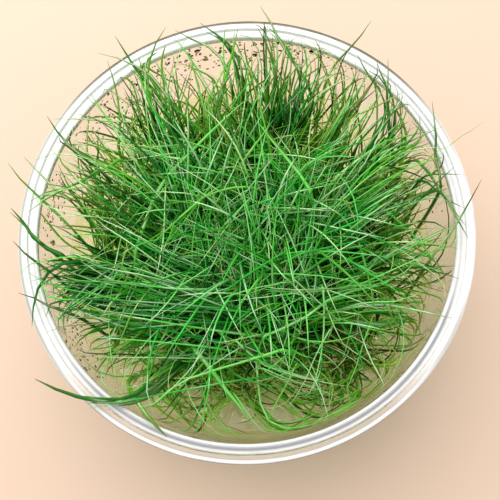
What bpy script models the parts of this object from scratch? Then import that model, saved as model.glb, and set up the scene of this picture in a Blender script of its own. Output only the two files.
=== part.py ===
"""Dwarf hairgrass growing in a clear plastic cup of plant jelly.

Metres, +Z up. The origin is the centre of the cup's flat underside. The cup and the jelly are
turned shapes. Each plant is a crown, set in a socket in the jelly, with locks of needle leaves
grown from it.
"""

import math
import random

import bmesh
import bpy
from mathutils import Matrix, Vector

MM = 0.001

PARTS = "dwarf_hairgrass_in_cup"
GUIDES = "guides"
WELD = 0.001 * MM                # points closer than this are one
CLEAR_SHARE = 0.6                # how far a clear material shows as clear in the viewport
CLEAR_TRANSMISSION = 0.9         # share of light that goes through the clear materials
GAP = 0.3 * MM                   # between touching pieces

# Cup, moulded in one piece
RIM_TOP = 44.0 * MM
LIP_RADIUS = 48.25 * MM          # inside edge of the rim, at its top
SKIRT_RADIUS = 52.3 * MM         # outside of the skirt at its foot
SKIRT_FOOT = 39.2 * MM           # height of the skirt's lower edge
WALL = 1.0 * MM
CORNER = 3.0 * MM                # inside radius between floor and wall
BEAD = 0.6 * MM                  # radius of the round lip
SEAT_RADIUS = 50.1 * MM          # middle of the groove where a lid sits
SEAT_HALF = 0.3 * MM
SEAT_DEPTH = 0.9 * MM
FLANGE_DROP = 0.1 * MM           # the flat flange lies this far below the lip
FLANGE_RADIUS = 52.7 * MM        # outermost edge of the cup
FLANGE_WALL = 0.8 * MM
FLANGE_CORNER = 0.5 * MM
WEB_CHAMFER = 0.6 * MM           # where the wall meets the underside of the rim
CUP_STEPS = 48
CUP_COLOUR = (0.9, 0.92, 0.9)
CUP_ROUGHNESS = 0.08
CUP_IOR = 1.5

# Jelly, poured into the cup
GEL_TOP = 18.6 * MM
GEL_RADIUS = 45.4 * MM           # the wall's inside radius at the jelly's surface
MENISCUS = 1.0 * MM              # how far the jelly climbs the wall
MENISCUS_WIDTH = 2.4 * MM
MENISCUS_SAG = (0.3, 0.35)       # its middle point: share of the width and of the climb
GEL_STEPS = 24
GEL_COLOUR = (0.9, 0.83, 0.6)
GEL_ROUGHNESS = 0.15
GEL_IOR = 1.34

# Plants
TUFTS = 19
BED_RADIUS = 34.0 * MM           # the crowns stand inside this
CROWN_RADIUS = 2.1 * MM
CROWN_HEIGHT = 0.9               # of its width
CROWN_LIFT = 0.6 * MM            # centre of the crown above the jelly
LOCKS = 9                        # on each plant
LOCK_RADIUS = 1.6 * MM
LOCK_SHAPE = (0.3, 1.0, 0.8, 0.08)   # thickness from root to tip, of the lock's radius
LOCK_SPREAD = 6.4 * MM           # how far the outer locks of a plant stand out
LOCK_ROOT = 0.25                 # share of that at the root
LOCK_BEND = 0.65                 # under 1, a lock spreads low and then rises
LOCK_TURN = 0.25                 # radians that a lock may stand off its even place
LOCK_UNEVEN = 9.0 * MM           # how much shorter a lock may be than its plant
GRASS_TOP = 62.0 * MM
OUTER_DROP = 7.0 * MM            # the outer plants lean, so their tips are lower
NEAR_DROP = 9.0 * MM             # and those on the -Y side are lower still
GOLDEN = math.radians(137.508)   # turn from one plant, or one lock, to the next
LEAF_GREEN = (0.05, 0.3, 0.03)
LEAF_ROUGHNESS = 0.45
LEAF_IOR = 1.45
SHADES = (0.75, 1.2)             # darkest and lightest plant
SEED = 7

# Which way the leaves lie: place on the bed, and how far the tips have moved there
LEAN_SPAN = 14.0 * MM
LEAN_POWER = 1.6
LEANS = (
    ((0.0, 0.0), (-5.0, 2.0)),
    ((-36.0, 18.0), (-17.0, 7.0)),
    ((-34.0, -12.0), (-17.5, 2.0)),
    ((-26.0, -30.0), (-15.0, -10.0)),
    ((-2.0, -38.0), (1.0, -17.0)),
    ((26.0, -30.0), (13.0, -13.0)),
    ((38.0, -6.0), (17.0, 4.0)),
    ((32.0, 24.0), (14.0, 11.0)),
    ((8.0, 38.0), (4.0, 16.0)),
    ((-16.0, 34.0), (-8.0, 16.0)),
)

TAPER = math.atan((LIP_RADIUS - GEL_RADIUS) / (RIM_TOP - GEL_TOP))


def clear_scene():
    """Remove every object that the file starts with."""
    for old in list(bpy.data.objects):
        bpy.data.objects.remove(old, do_unlink=True)


def collection(name):
    """A new collection linked to the scene."""
    made = bpy.data.collections.new(name)
    bpy.context.scene.collection.children.link(made)
    return made


def finish(name, colour, roughness, transmission=0.0, ior=LEAF_IOR):
    """A Principled material for one sub-part."""
    material = bpy.data.materials.new(name)
    material.use_nodes = True
    shader = material.node_tree.nodes["Principled BSDF"]
    shader.inputs["Base Color"].default_value = (*colour, 1.0)
    shader.inputs["Roughness"].default_value = roughness
    shader.inputs["Metallic"].default_value = 0.0
    shader.inputs["Transmission Weight"].default_value = transmission
    shader.inputs["IOR"].default_value = ior
    material.diffuse_color = (*colour, 1.0 - CLEAR_SHARE * transmission)
    return material


def new_object(name, data, home):
    """An object for the data, in the given collection."""
    made = bpy.data.objects.new(name, data)
    home.objects.link(made)
    return made


def guide(made):
    """Mark a cutter or a guide, which isn't part of the model."""
    made.hide_render = True
    made.display_type = "WIRE"


def wall_inside(z):
    """Inside radius of the tapered wall at height z."""
    return GEL_RADIUS + (z - GEL_TOP) * math.tan(TAPER)


def wall_outside(z):
    """Outside radius of the tapered wall at height z."""
    return wall_inside(z) + WALL / math.cos(TAPER)


def arc(centre, radius, start, end, count):
    """Points on an arc from start to end, in degrees, both ends included."""
    angles = [math.radians(start + (end - start) * i / (count - 1)) for i in range(count)]
    return [(centre[0] + radius * math.cos(a), centre[1] + radius * math.sin(a)) for a in angles]


def corner_centre():
    """Centre that the inside and outside corner arcs share."""
    z = WALL + CORNER
    return wall_inside(z) - CORNER / math.cos(TAPER), z


def cup_profile():
    """Half section: out along the floor, up the inside, over the rim and down the outside."""
    tilt = math.degrees(TAPER)
    bead_z = RIM_TOP - BEAD
    bead_centre = (wall_inside(bead_z) + BEAD / math.cos(TAPER), bead_z)
    seat_z = RIM_TOP - SEAT_DEPTH
    seat_end = SEAT_RADIUS + 2.0 * SEAT_HALF
    flange_z = RIM_TOP - FLANGE_DROP
    flange_centre = (FLANGE_RADIUS - FLANGE_CORNER, flange_z - FLANGE_CORNER)
    under = flange_z - FLANGE_WALL
    under_seat = seat_z - FLANGE_WALL
    web_z = under_seat - WEB_CHAMFER

    points = [(0.0, WALL)]
    points += arc(corner_centre(), CORNER, -90.0, -tilt, 3)
    points += arc(bead_centre, BEAD, 180.0 - tilt, 0.0, 4)
    points += [(SEAT_RADIUS - SEAT_HALF, seat_z), (SEAT_RADIUS + SEAT_HALF, seat_z)]
    points += [(seat_end, flange_z)]
    points += arc(flange_centre, FLANGE_CORNER, 90.0, 0.0, 3)
    points += [(SKIRT_RADIUS, SKIRT_FOOT), (SKIRT_RADIUS - FLANGE_WALL, SKIRT_FOOT)]
    points += [(FLANGE_RADIUS - FLANGE_WALL, under), (seat_end, under)]
    points += [(SEAT_RADIUS + SEAT_HALF, under_seat)]
    points += [(wall_outside(under_seat) + WEB_CHAMFER, under_seat), (wall_outside(web_z), web_z)]
    points += arc(corner_centre(), CORNER + WALL, -tilt, -90.0, 3)
    points += [(0.0, 0.0)]
    return points


def gel_profile():
    """Half section of the jelly: over its surface, down the wall and in along the floor."""
    tilt = math.degrees(TAPER)
    edge_z = GEL_TOP + MENISCUS
    edge = wall_inside(edge_z) - GAP / math.cos(TAPER)
    sag_width, sag_climb = MENISCUS_SAG
    points = [(0.0, GEL_TOP), (edge - MENISCUS_WIDTH, GEL_TOP)]
    points += [(edge - sag_width * MENISCUS_WIDTH, GEL_TOP + sag_climb * MENISCUS)]
    points += [(edge, edge_z)]
    points += arc(corner_centre(), CORNER - GAP, -tilt, -90.0, 3)
    points += [(0.0, WALL + GAP)]
    return points


def turned(name, profile, steps, home):
    """A solid turned about the Z axis from a profile of (radius, height) points."""
    mesh = bpy.data.meshes.new(name)
    edges = [(i, i + 1) for i in range(len(profile) - 1)]
    mesh.from_pydata([(r, 0.0, z) for r, z in profile], edges, [])
    made = new_object(name, mesh, home)
    screw = made.modifiers.new("turn", "SCREW")
    screw.angle = math.tau
    screw.steps = steps
    screw.render_steps = steps
    screw.use_merge_vertices = True
    screw.merge_threshold = WELD
    screw.use_smooth_shade = True
    return made


def tuft_places():
    """Places of the plants on the jelly, evenly spread along a sunflower's spiral."""
    places = []
    for k in range(TUFTS):
        radius = BED_RADIUS * math.sqrt((k + 0.5) / TUFTS)
        places.append((radius * math.cos(k * GOLDEN), radius * math.sin(k * GOLDEN)))
    return places


def grown_top(x, y):
    """Height that a plant standing at (x, y) reaches."""
    out = math.hypot(x, y) / BED_RADIUS
    near = max(0.0, -y / BED_RADIUS)
    return GRASS_TOP - OUTER_DROP * out ** 2 - NEAR_DROP * near ** 2


def lean(point):
    """Lay the growth over, more with height, the way the list says for each place.

    Every point at one height moves by the same smooth rule, so locks that are apart stay apart.
    """
    share = max(0.0, (point.z - GEL_TOP) / (GRASS_TOP - GEL_TOP))
    total = 0.0
    moved = Vector((0.0, 0.0, 0.0))
    for (x, y), (aside_x, aside_y) in LEANS:
        away = math.hypot(point.x - x * MM, point.y - y * MM) / LEAN_SPAN
        weight = math.exp(-0.5 * away ** 2)
        total += weight
        moved += weight * Vector((aside_x * MM, aside_y * MM, 0.0))
    return point + moved / total * share ** LEAN_POWER


def lock_path(place, index, chance):
    """Points of one lock, from inside the crown out and up to its own side."""
    side = index * GOLDEN + chance.uniform(-LOCK_TURN, LOCK_TURN)
    reach = LOCK_SPREAD * math.sqrt((index + 0.5) / LOCKS)
    start = Vector((place[0], place[1], GEL_TOP + CROWN_LIFT))
    top = grown_top(*place) - chance.uniform(0.0, LOCK_UNEVEN)
    aside = Vector((math.cos(side), math.sin(side), 0.0))
    points = []
    for i in range(len(LOCK_SHAPE)):
        t = i / (len(LOCK_SHAPE) - 1)
        out = aside * reach * (LOCK_ROOT + (1.0 - LOCK_ROOT) * t ** LOCK_BEND)
        points.append(lean(start + out + Vector((0.0, 0.0, (top - start.z) * t))))
    return points


def lock_section(home):
    """Three-sided section that every lock is drawn along."""
    curve = bpy.data.curves.new("lock_section", "CURVE")
    curve.dimensions = "2D"
    spline = curve.splines.new("POLY")
    spline.points.add(2)
    for i, point in enumerate(spline.points):
        angle = i * math.tau / 3.0
        point.co = (LOCK_RADIUS * math.cos(angle), LOCK_RADIUS * math.sin(angle), 0.0, 1.0)
    spline.use_cyclic_u = True
    made = new_object("lock_section", curve, home)
    guide(made)
    return made


def locks(name, paths, section, home):
    """All the locks of one plant, as closed tapered bodies in one mesh."""
    curve = bpy.data.curves.new(name, "CURVE")
    curve.dimensions = "3D"
    curve.bevel_mode = "OBJECT"
    curve.bevel_object = section
    curve.use_fill_caps = True
    for path in paths:
        spline = curve.splines.new("POLY")
        spline.points.add(len(path) - 1)
        for i, point in enumerate(path):
            spline.points[i].co = (*point, 1.0)
            spline.points[i].radius = LOCK_SHAPE[i]
    drawn = new_object(name, curve, home)
    bpy.context.view_layer.update()
    seen = drawn.evaluated_get(bpy.context.evaluated_depsgraph_get())
    mesh = bpy.data.meshes.new_from_object(seen)
    bpy.data.objects.remove(drawn, do_unlink=True)
    weld(mesh)
    made = new_object(name, mesh, home)
    guide(made)
    return made


def weld(mesh):
    """Join the loose caps of a mesh made from a curve."""
    work = bmesh.new()
    work.from_mesh(mesh)
    bmesh.ops.remove_doubles(work, verts=work.verts, dist=WELD)
    bmesh.ops.recalc_face_normals(work, faces=work.faces)
    work.to_mesh(mesh)
    work.free()


def crown(name, place, radius, home):
    """A squat ball at a plant's place, half in the jelly."""
    mesh = bpy.data.meshes.new(name)
    work = bmesh.new()
    bmesh.ops.create_uvsphere(work, u_segments=6, v_segments=4, radius=radius)
    squat = Matrix.Diagonal((1.0, 1.0, CROWN_HEIGHT, 1.0))
    put = Matrix.Translation((place[0], place[1], GEL_TOP + CROWN_LIFT))
    bmesh.ops.transform(work, matrix=put @ squat, verts=work.verts)
    work.to_mesh(mesh)
    work.free()
    return new_object(name, mesh, home)


def boolean(made, other, operation):
    """Cut the other object from this one, or join it on, with the exact solver."""
    modifier = made.modifiers.new(operation.lower(), "BOOLEAN")
    modifier.operation = operation
    modifier.solver = "EXACT"
    modifier.object = other
    modifier.use_self = True
    return modifier


def build():
    """Make the cup, the jelly and every plant."""
    clear_scene()
    parts = collection(PARTS)
    guides = collection(GUIDES)
    chance = random.Random(SEED)

    cup = turned("cup", cup_profile(), CUP_STEPS, parts)
    plastic = finish("cup_plastic", CUP_COLOUR, CUP_ROUGHNESS, CLEAR_TRANSMISSION, CUP_IOR)
    cup.data.materials.append(plastic)

    gel = turned("gel", gel_profile(), GEL_STEPS, parts)
    jelly = finish("plant_jelly", GEL_COLOUR, GEL_ROUGHNESS, CLEAR_TRANSMISSION, GEL_IOR)
    gel.data.materials.append(jelly)

    section = lock_section(guides)
    for number, place in enumerate(tuft_places(), start=1):
        name = f"tuft_{number:02d}"
        socket = crown(f"socket_{number:02d}", place, CROWN_RADIUS + GAP, guides)
        guide(socket)
        boolean(gel, socket, "DIFFERENCE")
        tuft = crown(name, place, CROWN_RADIUS, parts)
        paths = [lock_path(place, index, chance) for index in range(LOCKS)]
        boolean(tuft, locks(f"locks_{number:02d}", paths, section, guides), "UNION")
        shade = chance.uniform(*SHADES)
        green = [shade * value for value in LEAF_GREEN]
        tuft.data.materials.append(finish(f"leaf_green_{number:02d}", green, LEAF_ROUGHNESS))


build()
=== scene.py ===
import math

import bpy
import numpy as np
from mathutils import Matrix, Vector


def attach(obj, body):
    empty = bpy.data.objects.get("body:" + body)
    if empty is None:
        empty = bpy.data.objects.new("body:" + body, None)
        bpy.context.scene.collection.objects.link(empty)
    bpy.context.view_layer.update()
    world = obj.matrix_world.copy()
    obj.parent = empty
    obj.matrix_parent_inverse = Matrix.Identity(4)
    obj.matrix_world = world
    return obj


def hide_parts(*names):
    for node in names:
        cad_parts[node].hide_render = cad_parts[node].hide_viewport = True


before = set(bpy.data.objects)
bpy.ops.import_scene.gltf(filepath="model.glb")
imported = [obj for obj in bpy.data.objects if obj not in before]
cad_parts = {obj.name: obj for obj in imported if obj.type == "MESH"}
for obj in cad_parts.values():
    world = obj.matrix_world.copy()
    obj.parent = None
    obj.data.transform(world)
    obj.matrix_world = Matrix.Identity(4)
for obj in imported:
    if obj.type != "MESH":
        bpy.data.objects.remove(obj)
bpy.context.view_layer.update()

# Studio. A pale sheet of board lies under the cup, lit by a wide soft lamp from the upper left
# and by the white room. The camera looks down at the cup, a little from its near side.
MM = 0.001
VIEW_TARGET = Vector((1.0, -4.0, 42.0)) * MM
VIEW_BACK = Vector((0.034, -0.238, 0.9707)).normalized()
VIEW_DISTANCE = 240.0 * MM
VIEW_PIXELS = 500
VIEW_FOCAL = 1040.0                # focal length in pixels of the view
VIEW_MIDDLE = VIEW_PIXELS / 2.0
SENSOR = 36.0
NEAREST_SEEN = 10.0 * MM
VIEW_RIGHT = Vector((0.0, 1.0, 0.0)).cross(VIEW_BACK).normalized()
VIEW_UP = VIEW_BACK.cross(VIEW_RIGHT)
VIEW_EYE = VIEW_TARGET + VIEW_BACK * VIEW_DISTANCE

FLOOR_HALF = 900.0 * MM
FLOOR_DROP = 0.2 * MM              # the cup stands this far above the sheet
FLOOR_COLOUR = (0.83, 0.625, 0.49)
FLOOR_ROUGHNESS = 0.85
FLOOR_IOR = 1.4
ROOM_COLOUR = (1.0, 0.975, 0.965)
ROOM_STRENGTH = 0.66
LAMP_PLACE = Vector((-95.0, 240.0, 430.0)) * MM
LAMP_WIDTH = 640.0 * MM
LAMP_WATTS = 2.75
LAMP_COLOUR = (1.0, 0.985, 0.95)
CLEAR_LAYERS = 24                  # see-through surfaces that light may pass in a row


def new_piece(name, mesh, materials):
    """An object at the origin for a finished mesh, with its materials in slot order."""
    made = bpy.data.objects.new(name, mesh)
    bpy.context.scene.collection.objects.link(made)
    for one in materials:
        mesh.materials.append(one)
    return made


def principled(name, colour, roughness, ior):
    """A new material and its Principled shader, with what is the same all over it."""
    made = bpy.data.materials.new(name)
    made.use_nodes = True
    shader = made.node_tree.nodes["Principled BSDF"]
    shader.inputs["Base Color"].default_value = (*colour, 1.0)
    shader.inputs["Roughness"].default_value = roughness
    shader.inputs["IOR"].default_value = ior
    shader.inputs["Metallic"].default_value = 0.0
    return made, shader


def add_floor():
    """A flat square sheet, facing up."""
    half = FLOOR_HALF
    corners = [(-half, -half), (half, -half), (half, half), (-half, half)]
    mesh = bpy.data.meshes.new("floor")
    mesh.from_pydata([(x, y, -FLOOR_DROP) for x, y in corners], [], [(0, 1, 2, 3)])
    board, _ = principled("pale_board", FLOOR_COLOUR, FLOOR_ROUGHNESS, FLOOR_IOR)
    new_piece("floor", mesh, [board])


def add_camera():
    """The camera at the eye, with its axes along the view's right, up and back."""
    data = bpy.data.cameras.new("camera")
    data.sensor_width = SENSOR
    data.lens = SENSOR * VIEW_FOCAL / VIEW_PIXELS
    data.clip_start = NEAREST_SEEN
    made = bpy.data.objects.new("camera", data)
    bpy.context.scene.collection.objects.link(made)
    axes = Matrix((VIEW_RIGHT, VIEW_UP, VIEW_BACK)).transposed().to_4x4()
    made.matrix_world = Matrix.Translation(VIEW_EYE) @ axes
    bpy.context.scene.camera = made


def add_light():
    """The bright room all round, and one wide lamp that faces the cup."""
    world = bpy.data.worlds.new("room")
    world.use_nodes = True
    sky = world.node_tree.nodes["Background"]
    sky.inputs["Color"].default_value = (*ROOM_COLOUR, 1.0)
    sky.inputs["Strength"].default_value = ROOM_STRENGTH
    bpy.context.scene.world = world
    data = bpy.data.lights.new("lamp", "AREA")
    data.shape = "DISK"
    data.size = LAMP_WIDTH
    data.energy = LAMP_WATTS
    data.color = LAMP_COLOUR
    made = bpy.data.objects.new("lamp", data)
    bpy.context.scene.collection.objects.link(made)
    made.location = LAMP_PLACE
    made.rotation_euler = LAMP_PLACE.to_track_quat("Z", "Y").to_euler()
    scene = bpy.context.scene
    scene.view_settings.view_transform = "Standard"
    scene.cycles.transparent_max_bounces = CLEAR_LAYERS


add_floor()
add_camera()
add_light()


# Cup. One clear plastic moulding: a flat floor, a tapered wall, a round lip, a groove where a
# lid sits, a flat flange and a skirt turned down at its edge. Its rim is painted nearly opaque
# white with grey lines, as painted reflection and shade, over scuffs of wear.
RIM_TOP = 44.0
SKIRT_RADIUS = 52.3
SKIRT_FOOT = 39.2
WALL = 1.0
CORNER = 3.0
BEAD = 0.6
SEAT_RADIUS = 50.1
SEAT_HALF = 0.3
SEAT_DEPTH = 0.9
FLANGE_DROP = 0.1
FLANGE_RADIUS = 52.7
FLANGE_WALL = 0.8
FLANGE_CORNER = 0.5
WEB_CHAMFER = 0.6
WALL_RUN = (8.0, 42.0)             # heights between which the wall is straight
WALL_POINTS = 12
LIP_RADIUS = 48.25
GEL_TOP = 18.6
GEL_RADIUS = 45.4
TAPER = math.atan((LIP_RADIUS - GEL_RADIUS) / (RIM_TOP - GEL_TOP))
TURN_STEPS = 192
SHARP_FROM = math.radians(40.0)    # faces that meet at more than this keep a crisp edge
ARC_POINTS = 12
SMALL_ARC_POINTS = 8
PAINTED_RIM_FROM = 48.3                   # radius where the rim with painted reflection begins,
PAINTED_RIM_ABOVE = 42.9                  # its height there,
PAINTED_LIP_ABOVE = 43.3              # and its height on the inside of the lip
PLASTIC_COLOUR = (1.0, 1.0, 1.0)
PLASTIC_ROUGHNESS = 0.03
PLASTIC_IOR = 1.5
NO_TINT = (1.0, 1.0, 1.0)
RIM_COLOUR = (0.93, 0.94, 0.95)
RIM_ROUGHNESS = 0.22
RIM_COVER = 0.93
RIM_PASSES = 0.6                   # share of the light that the rim lets on
STREAK_ALONG = 10.0                # how fast the rim's streaks change round the turn
STREAK_ACROSS = 11.0               # and across it, for each mm
STREAK_DETAIL = 4.0
STREAK_WAVERS = 0.10               # how far they move the bands, as a share of the rim's width
SIDES_MEET = (-0.35, 0.35)         # shares of east between which the left bands turn to the right's
GLARE_FROM = (0.90, 0.985)         # and between which these turn to painted glare
FAR_FROM = (-0.45, -0.80)          # shares of near between which the far bands set in,
NEAR_FROM = (0.45, 0.85)           # and the near ones
SCUFFS_FROM = (0.54, 0.64)         # streaks show as scuffs from the first, fully above the second
EDGE_FOOT = 42.7                   # the far side of the skirt is plain below this height
EDGE_FADE = 0.3
SKIRT_PLAIN = (0.9, 0.91, 0.92)
SCUFF = (0.45, 0.46, 0.46)
SCUFF_COVER = 0.5
GLARE_COVER = 0.9
RIM_INNER, RIM_OUTER = 48.1, 52.7
# Colours of the rim's painted light: white reflection, grey and olive shade, peach board seen through
WHITE, GREY, OLIVE = (0.97, 0.98, 1.0), (0.52, 0.54, 0.58), (0.09, 0.085, 0.045)
DULL, LEFT_EDGE_SHADE, RIGHT_EDGE_SHADE = (0.76, 0.78, 0.78), (0.44, 0.47, 0.40), (0.62, 0.62, 0.61)
PEACH, BROWN = (0.85, 0.72, 0.62), (0.45, 0.39, 0.34)

# The rim's bands on its four sides, and how well they cover. White is painted reflection, the
# greys, olive, edge shades and browns are painted shade, and peach is the board seen through.
# Each row: radius in mm and the colour or grey there.
FAR_BANDS = (
    (48.1, WHITE), (48.7, WHITE), (48.85, GREY), (49.0, WHITE), (49.45, WHITE),
    (49.6, (0.72, 0.74, 0.76)), (49.75, WHITE), (51.75, WHITE), (52.0, OLIVE), (52.7, OLIVE))
LEFT_BANDS = (
    (48.1, WHITE), (48.8, WHITE), (49.1, DULL), (49.5, WHITE), (51.7, WHITE),
    (52.05, LEFT_EDGE_SHADE), (52.4, LEFT_EDGE_SHADE), (52.55, WHITE), (52.7, WHITE))
RIGHT_BANDS = (
    (48.1, WHITE), (48.8, WHITE), (49.05, GREY), (49.6, GREY), (49.85, WHITE),
    (51.65, WHITE), (51.95, RIGHT_EDGE_SHADE), (52.35, RIGHT_EDGE_SHADE), (52.5, WHITE), (52.7, WHITE))
NEAR_BANDS = (
    (48.1, WHITE), (48.6, WHITE), (48.8, (0.62, 0.62, 0.66)), (49.3, (0.60, 0.60, 0.64)),
    (49.55, GREY), (49.85, WHITE), (50.1, WHITE), (50.3, (0.58, 0.55, 0.51)),
    (50.6, PEACH), (51.2, PEACH), (51.45, (0.50, 0.43, 0.36)),
    (51.65, (0.60, 0.54, 0.48)), (51.85, WHITE), (52.35, WHITE), (52.55, BROWN), (52.7, BROWN))
NEAR_COVER = (
    (48.1, 1.0), (50.3, 1.0), (50.5, 0.25), (51.2, 0.25), (51.4, 0.7), (51.65, 0.7),
    (51.8, 1.0), (52.7, 1.0))


def wall_inside(z):
    """Inside radius of the wall at height z, in mm: its radius at the jelly's top, and the
    taper's slope for each mm above that."""
    return GEL_RADIUS + (z - GEL_TOP) * math.tan(TAPER)


def arc(centre, radius, start, end, count):
    """Points (radius, height) of an arc: the centre plus the radius times the cosine and sine of
    even angles from start to end, in degrees."""
    angles = np.radians(np.linspace(start, end, count))
    return list(zip(centre[0] + radius * np.cos(angles), centre[1] + radius * np.sin(angles)))


def cup_section():
    """Half section of the cup: along the floor, up the inside, over the rim, down the outside."""
    tilt = math.degrees(TAPER)
    thick = WALL / math.cos(TAPER)
    corner = (wall_inside(WALL + CORNER) - CORNER / math.cos(TAPER), WALL + CORNER)
    bead = (wall_inside(RIM_TOP - BEAD) + BEAD / math.cos(TAPER), RIM_TOP - BEAD)
    seat_z = RIM_TOP - SEAT_DEPTH
    seat_end = SEAT_RADIUS + 2.0 * SEAT_HALF
    flange_z = RIM_TOP - FLANGE_DROP
    flange = (FLANGE_RADIUS - FLANGE_CORNER, flange_z - FLANGE_CORNER)
    under = seat_z - FLANGE_WALL
    web_z = under - WEB_CHAMFER
    points = [(0.0, WALL)]
    points += arc(corner, CORNER, -90.0, -tilt, ARC_POINTS)
    points += [(wall_inside(z), z) for z in np.linspace(*WALL_RUN, WALL_POINTS)]
    points += arc(bead, BEAD, 180.0 - tilt, 0.0, ARC_POINTS)
    points += [(SEAT_RADIUS - SEAT_HALF, seat_z), (SEAT_RADIUS + SEAT_HALF, seat_z)]
    points += [(seat_end, flange_z)]
    points += arc(flange, FLANGE_CORNER, 90.0, 0.0, SMALL_ARC_POINTS)
    points += [(SKIRT_RADIUS, SKIRT_FOOT), (SKIRT_RADIUS - FLANGE_WALL, SKIRT_FOOT)]
    points += [(FLANGE_RADIUS - FLANGE_WALL, flange_z - FLANGE_WALL)]
    points += [(seat_end, flange_z - FLANGE_WALL), (SEAT_RADIUS + SEAT_HALF, under)]
    points += [(wall_inside(under) + thick + WEB_CHAMFER, under)]
    points += [(wall_inside(z) + thick, z) for z in np.linspace(web_z, WALL_RUN[0], WALL_POINTS)]
    points += arc(corner, CORNER + WALL, -tilt, -90.0, ARC_POINTS)
    points += [(0.0, 0.0)]
    return np.array(points) * MM


def turned(name, section, steps):
    """A closed surface turned about Z. Each section point makes a ring at angle 2 pi j / steps,
    and the two end points, on the axis, close it."""
    rings = section[1:-1]
    turn = np.arange(steps) * (2.0 * math.pi / steps)
    body = np.empty((len(rings), steps, 3))
    body[..., 0] = rings[:, :1] * np.cos(turn)
    body[..., 1] = rings[:, :1] * np.sin(turn)
    body[..., 2] = rings[:, 1:]
    ends = np.array([(0.0, 0.0, section[0, 1]), (0.0, 0.0, section[-1, 1])])
    verts = np.concatenate((body.reshape(-1, 3), ends))
    start = np.arange(len(rings) - 1)[:, None] * steps
    here = np.arange(steps)
    there = (here + 1) % steps
    quads = np.stack((start + here, start + steps + here, start + steps + there,
                      start + there), axis=-1).reshape(-1, 4)
    last = (len(rings) - 1) * steps
    first_pole, last_pole = len(verts) - 2, len(verts) - 1
    caps = np.concatenate((
        np.stack((here, there, np.full(steps, first_pole)), axis=-1),
        np.stack((last + there, last + here, np.full(steps, last_pole)), axis=-1)))
    return mesh_of(name, verts, [quads, caps])


def mesh_of(name, verts, blocks):
    """A smooth mesh from an array of places and arrays of faces, one array for each face size."""
    mesh = bpy.data.meshes.new(name)
    sizes = np.concatenate([np.full(len(block), block.shape[1]) for block in blocks])
    corners = np.concatenate([block.ravel() for block in blocks])
    starts = np.concatenate(([0], np.cumsum(sizes)[:-1]))
    mesh.vertices.add(len(verts))
    mesh.vertices.foreach_set("co", np.ascontiguousarray(verts, np.float32).ravel())
    mesh.loops.add(len(corners))
    mesh.loops.foreach_set("vertex_index", corners.astype(np.int32))
    mesh.polygons.add(len(sizes))
    mesh.polygons.foreach_set("loop_start", starts.astype(np.int32))
    mesh.update(calc_edges=True)
    mesh.validate()
    mesh.shade_smooth()
    return mesh


class Network:
    """Nodes of a material or a group, made and joined by short calls.

    Each call takes sockets, numbers or colours as its inputs and gives the new node's output.
    """

    def __init__(self, tree):
        self.nodes, self.links = tree.nodes, tree.links

    def feed(self, socket, given):
        """Joins a socket to an output, or sets its number or colour."""
        if isinstance(given, bpy.types.NodeSocket):
            self.links.new(given, socket)
        elif isinstance(given, tuple):
            socket.default_value = (*given, 1.0)
        else:
            socket.default_value = given

    def make(self, kind, inputs, output=0, **settings):
        """A node of that kind with its settings, and inputs by the socket's place or name."""
        node = self.nodes.new("ShaderNode" + kind)
        for key, value in settings.items():
            setattr(node, key, value)
        for socket, given in inputs.items():
            self.feed(node.inputs[socket], given)
        return node.outputs[output]

    def math(self, operation, *inputs):
        """One step of arithmetic on values."""
        return self.make("Math", dict(enumerate(inputs)), operation=operation)

    def blend(self, factor, low, high):
        """One colour over another."""
        return self.make("Mix", {0: factor, 6: low, 7: high}, 2, data_type="RGBA")

    def smooth_between(self, value, low, high):
        """0 at low, 1 at high, smooth between them."""
        return self.make("MapRange", {"Value": value, "From Min": low, "From Max": high},
                         interpolation_type="SMOOTHSTEP")

    def ramp(self, value, rows):
        """Shades that follow a value; each row is (value, colour or grey)."""
        output = self.make("ValToRGB", {0: value})
        elements = output.node.color_ramp.elements
        while len(elements) < len(rows):
            elements.new(0.5)
        for element, (place, shade) in zip(elements, rows):
            element.position = place
            element.color = (*(shade if isinstance(shade, tuple) else (shade,) * 3), 1.0)
        return output

    def place(self):
        """The place in the object: x, y and z in metres."""
        place = self.make("TexCoord", {}, "Object")
        return self.make("SeparateXYZ", {0: place}).node.outputs[:]


def lets_light_through(material, shader, tint, share=1.0):
    """A share of the light on its way to or from a matt surface goes straight on."""
    net = Network(material.node_tree)
    path = net.make("LightPath", {}).node.outputs
    passes = net.math("MAXIMUM", path["Is Shadow Ray"], path["Is Diffuse Ray"])
    straight = net.make("BsdfTransparent", {"Color": tint})
    mixed = net.make("MixShader", {0: net.math("MULTIPLY", passes, share), 1: shader.outputs[0],
                                   2: straight})
    net.feed(net.nodes["Material Output"].inputs["Surface"], mixed)


def clear_plastic():
    """The clear body of the cup."""
    material, shader = principled("clear_plastic", PLASTIC_COLOUR, PLASTIC_ROUGHNESS, PLASTIC_IOR)
    shader.inputs["Transmission Weight"].default_value = 1.0
    lets_light_through(material, shader, NO_TINT)
    return material


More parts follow.
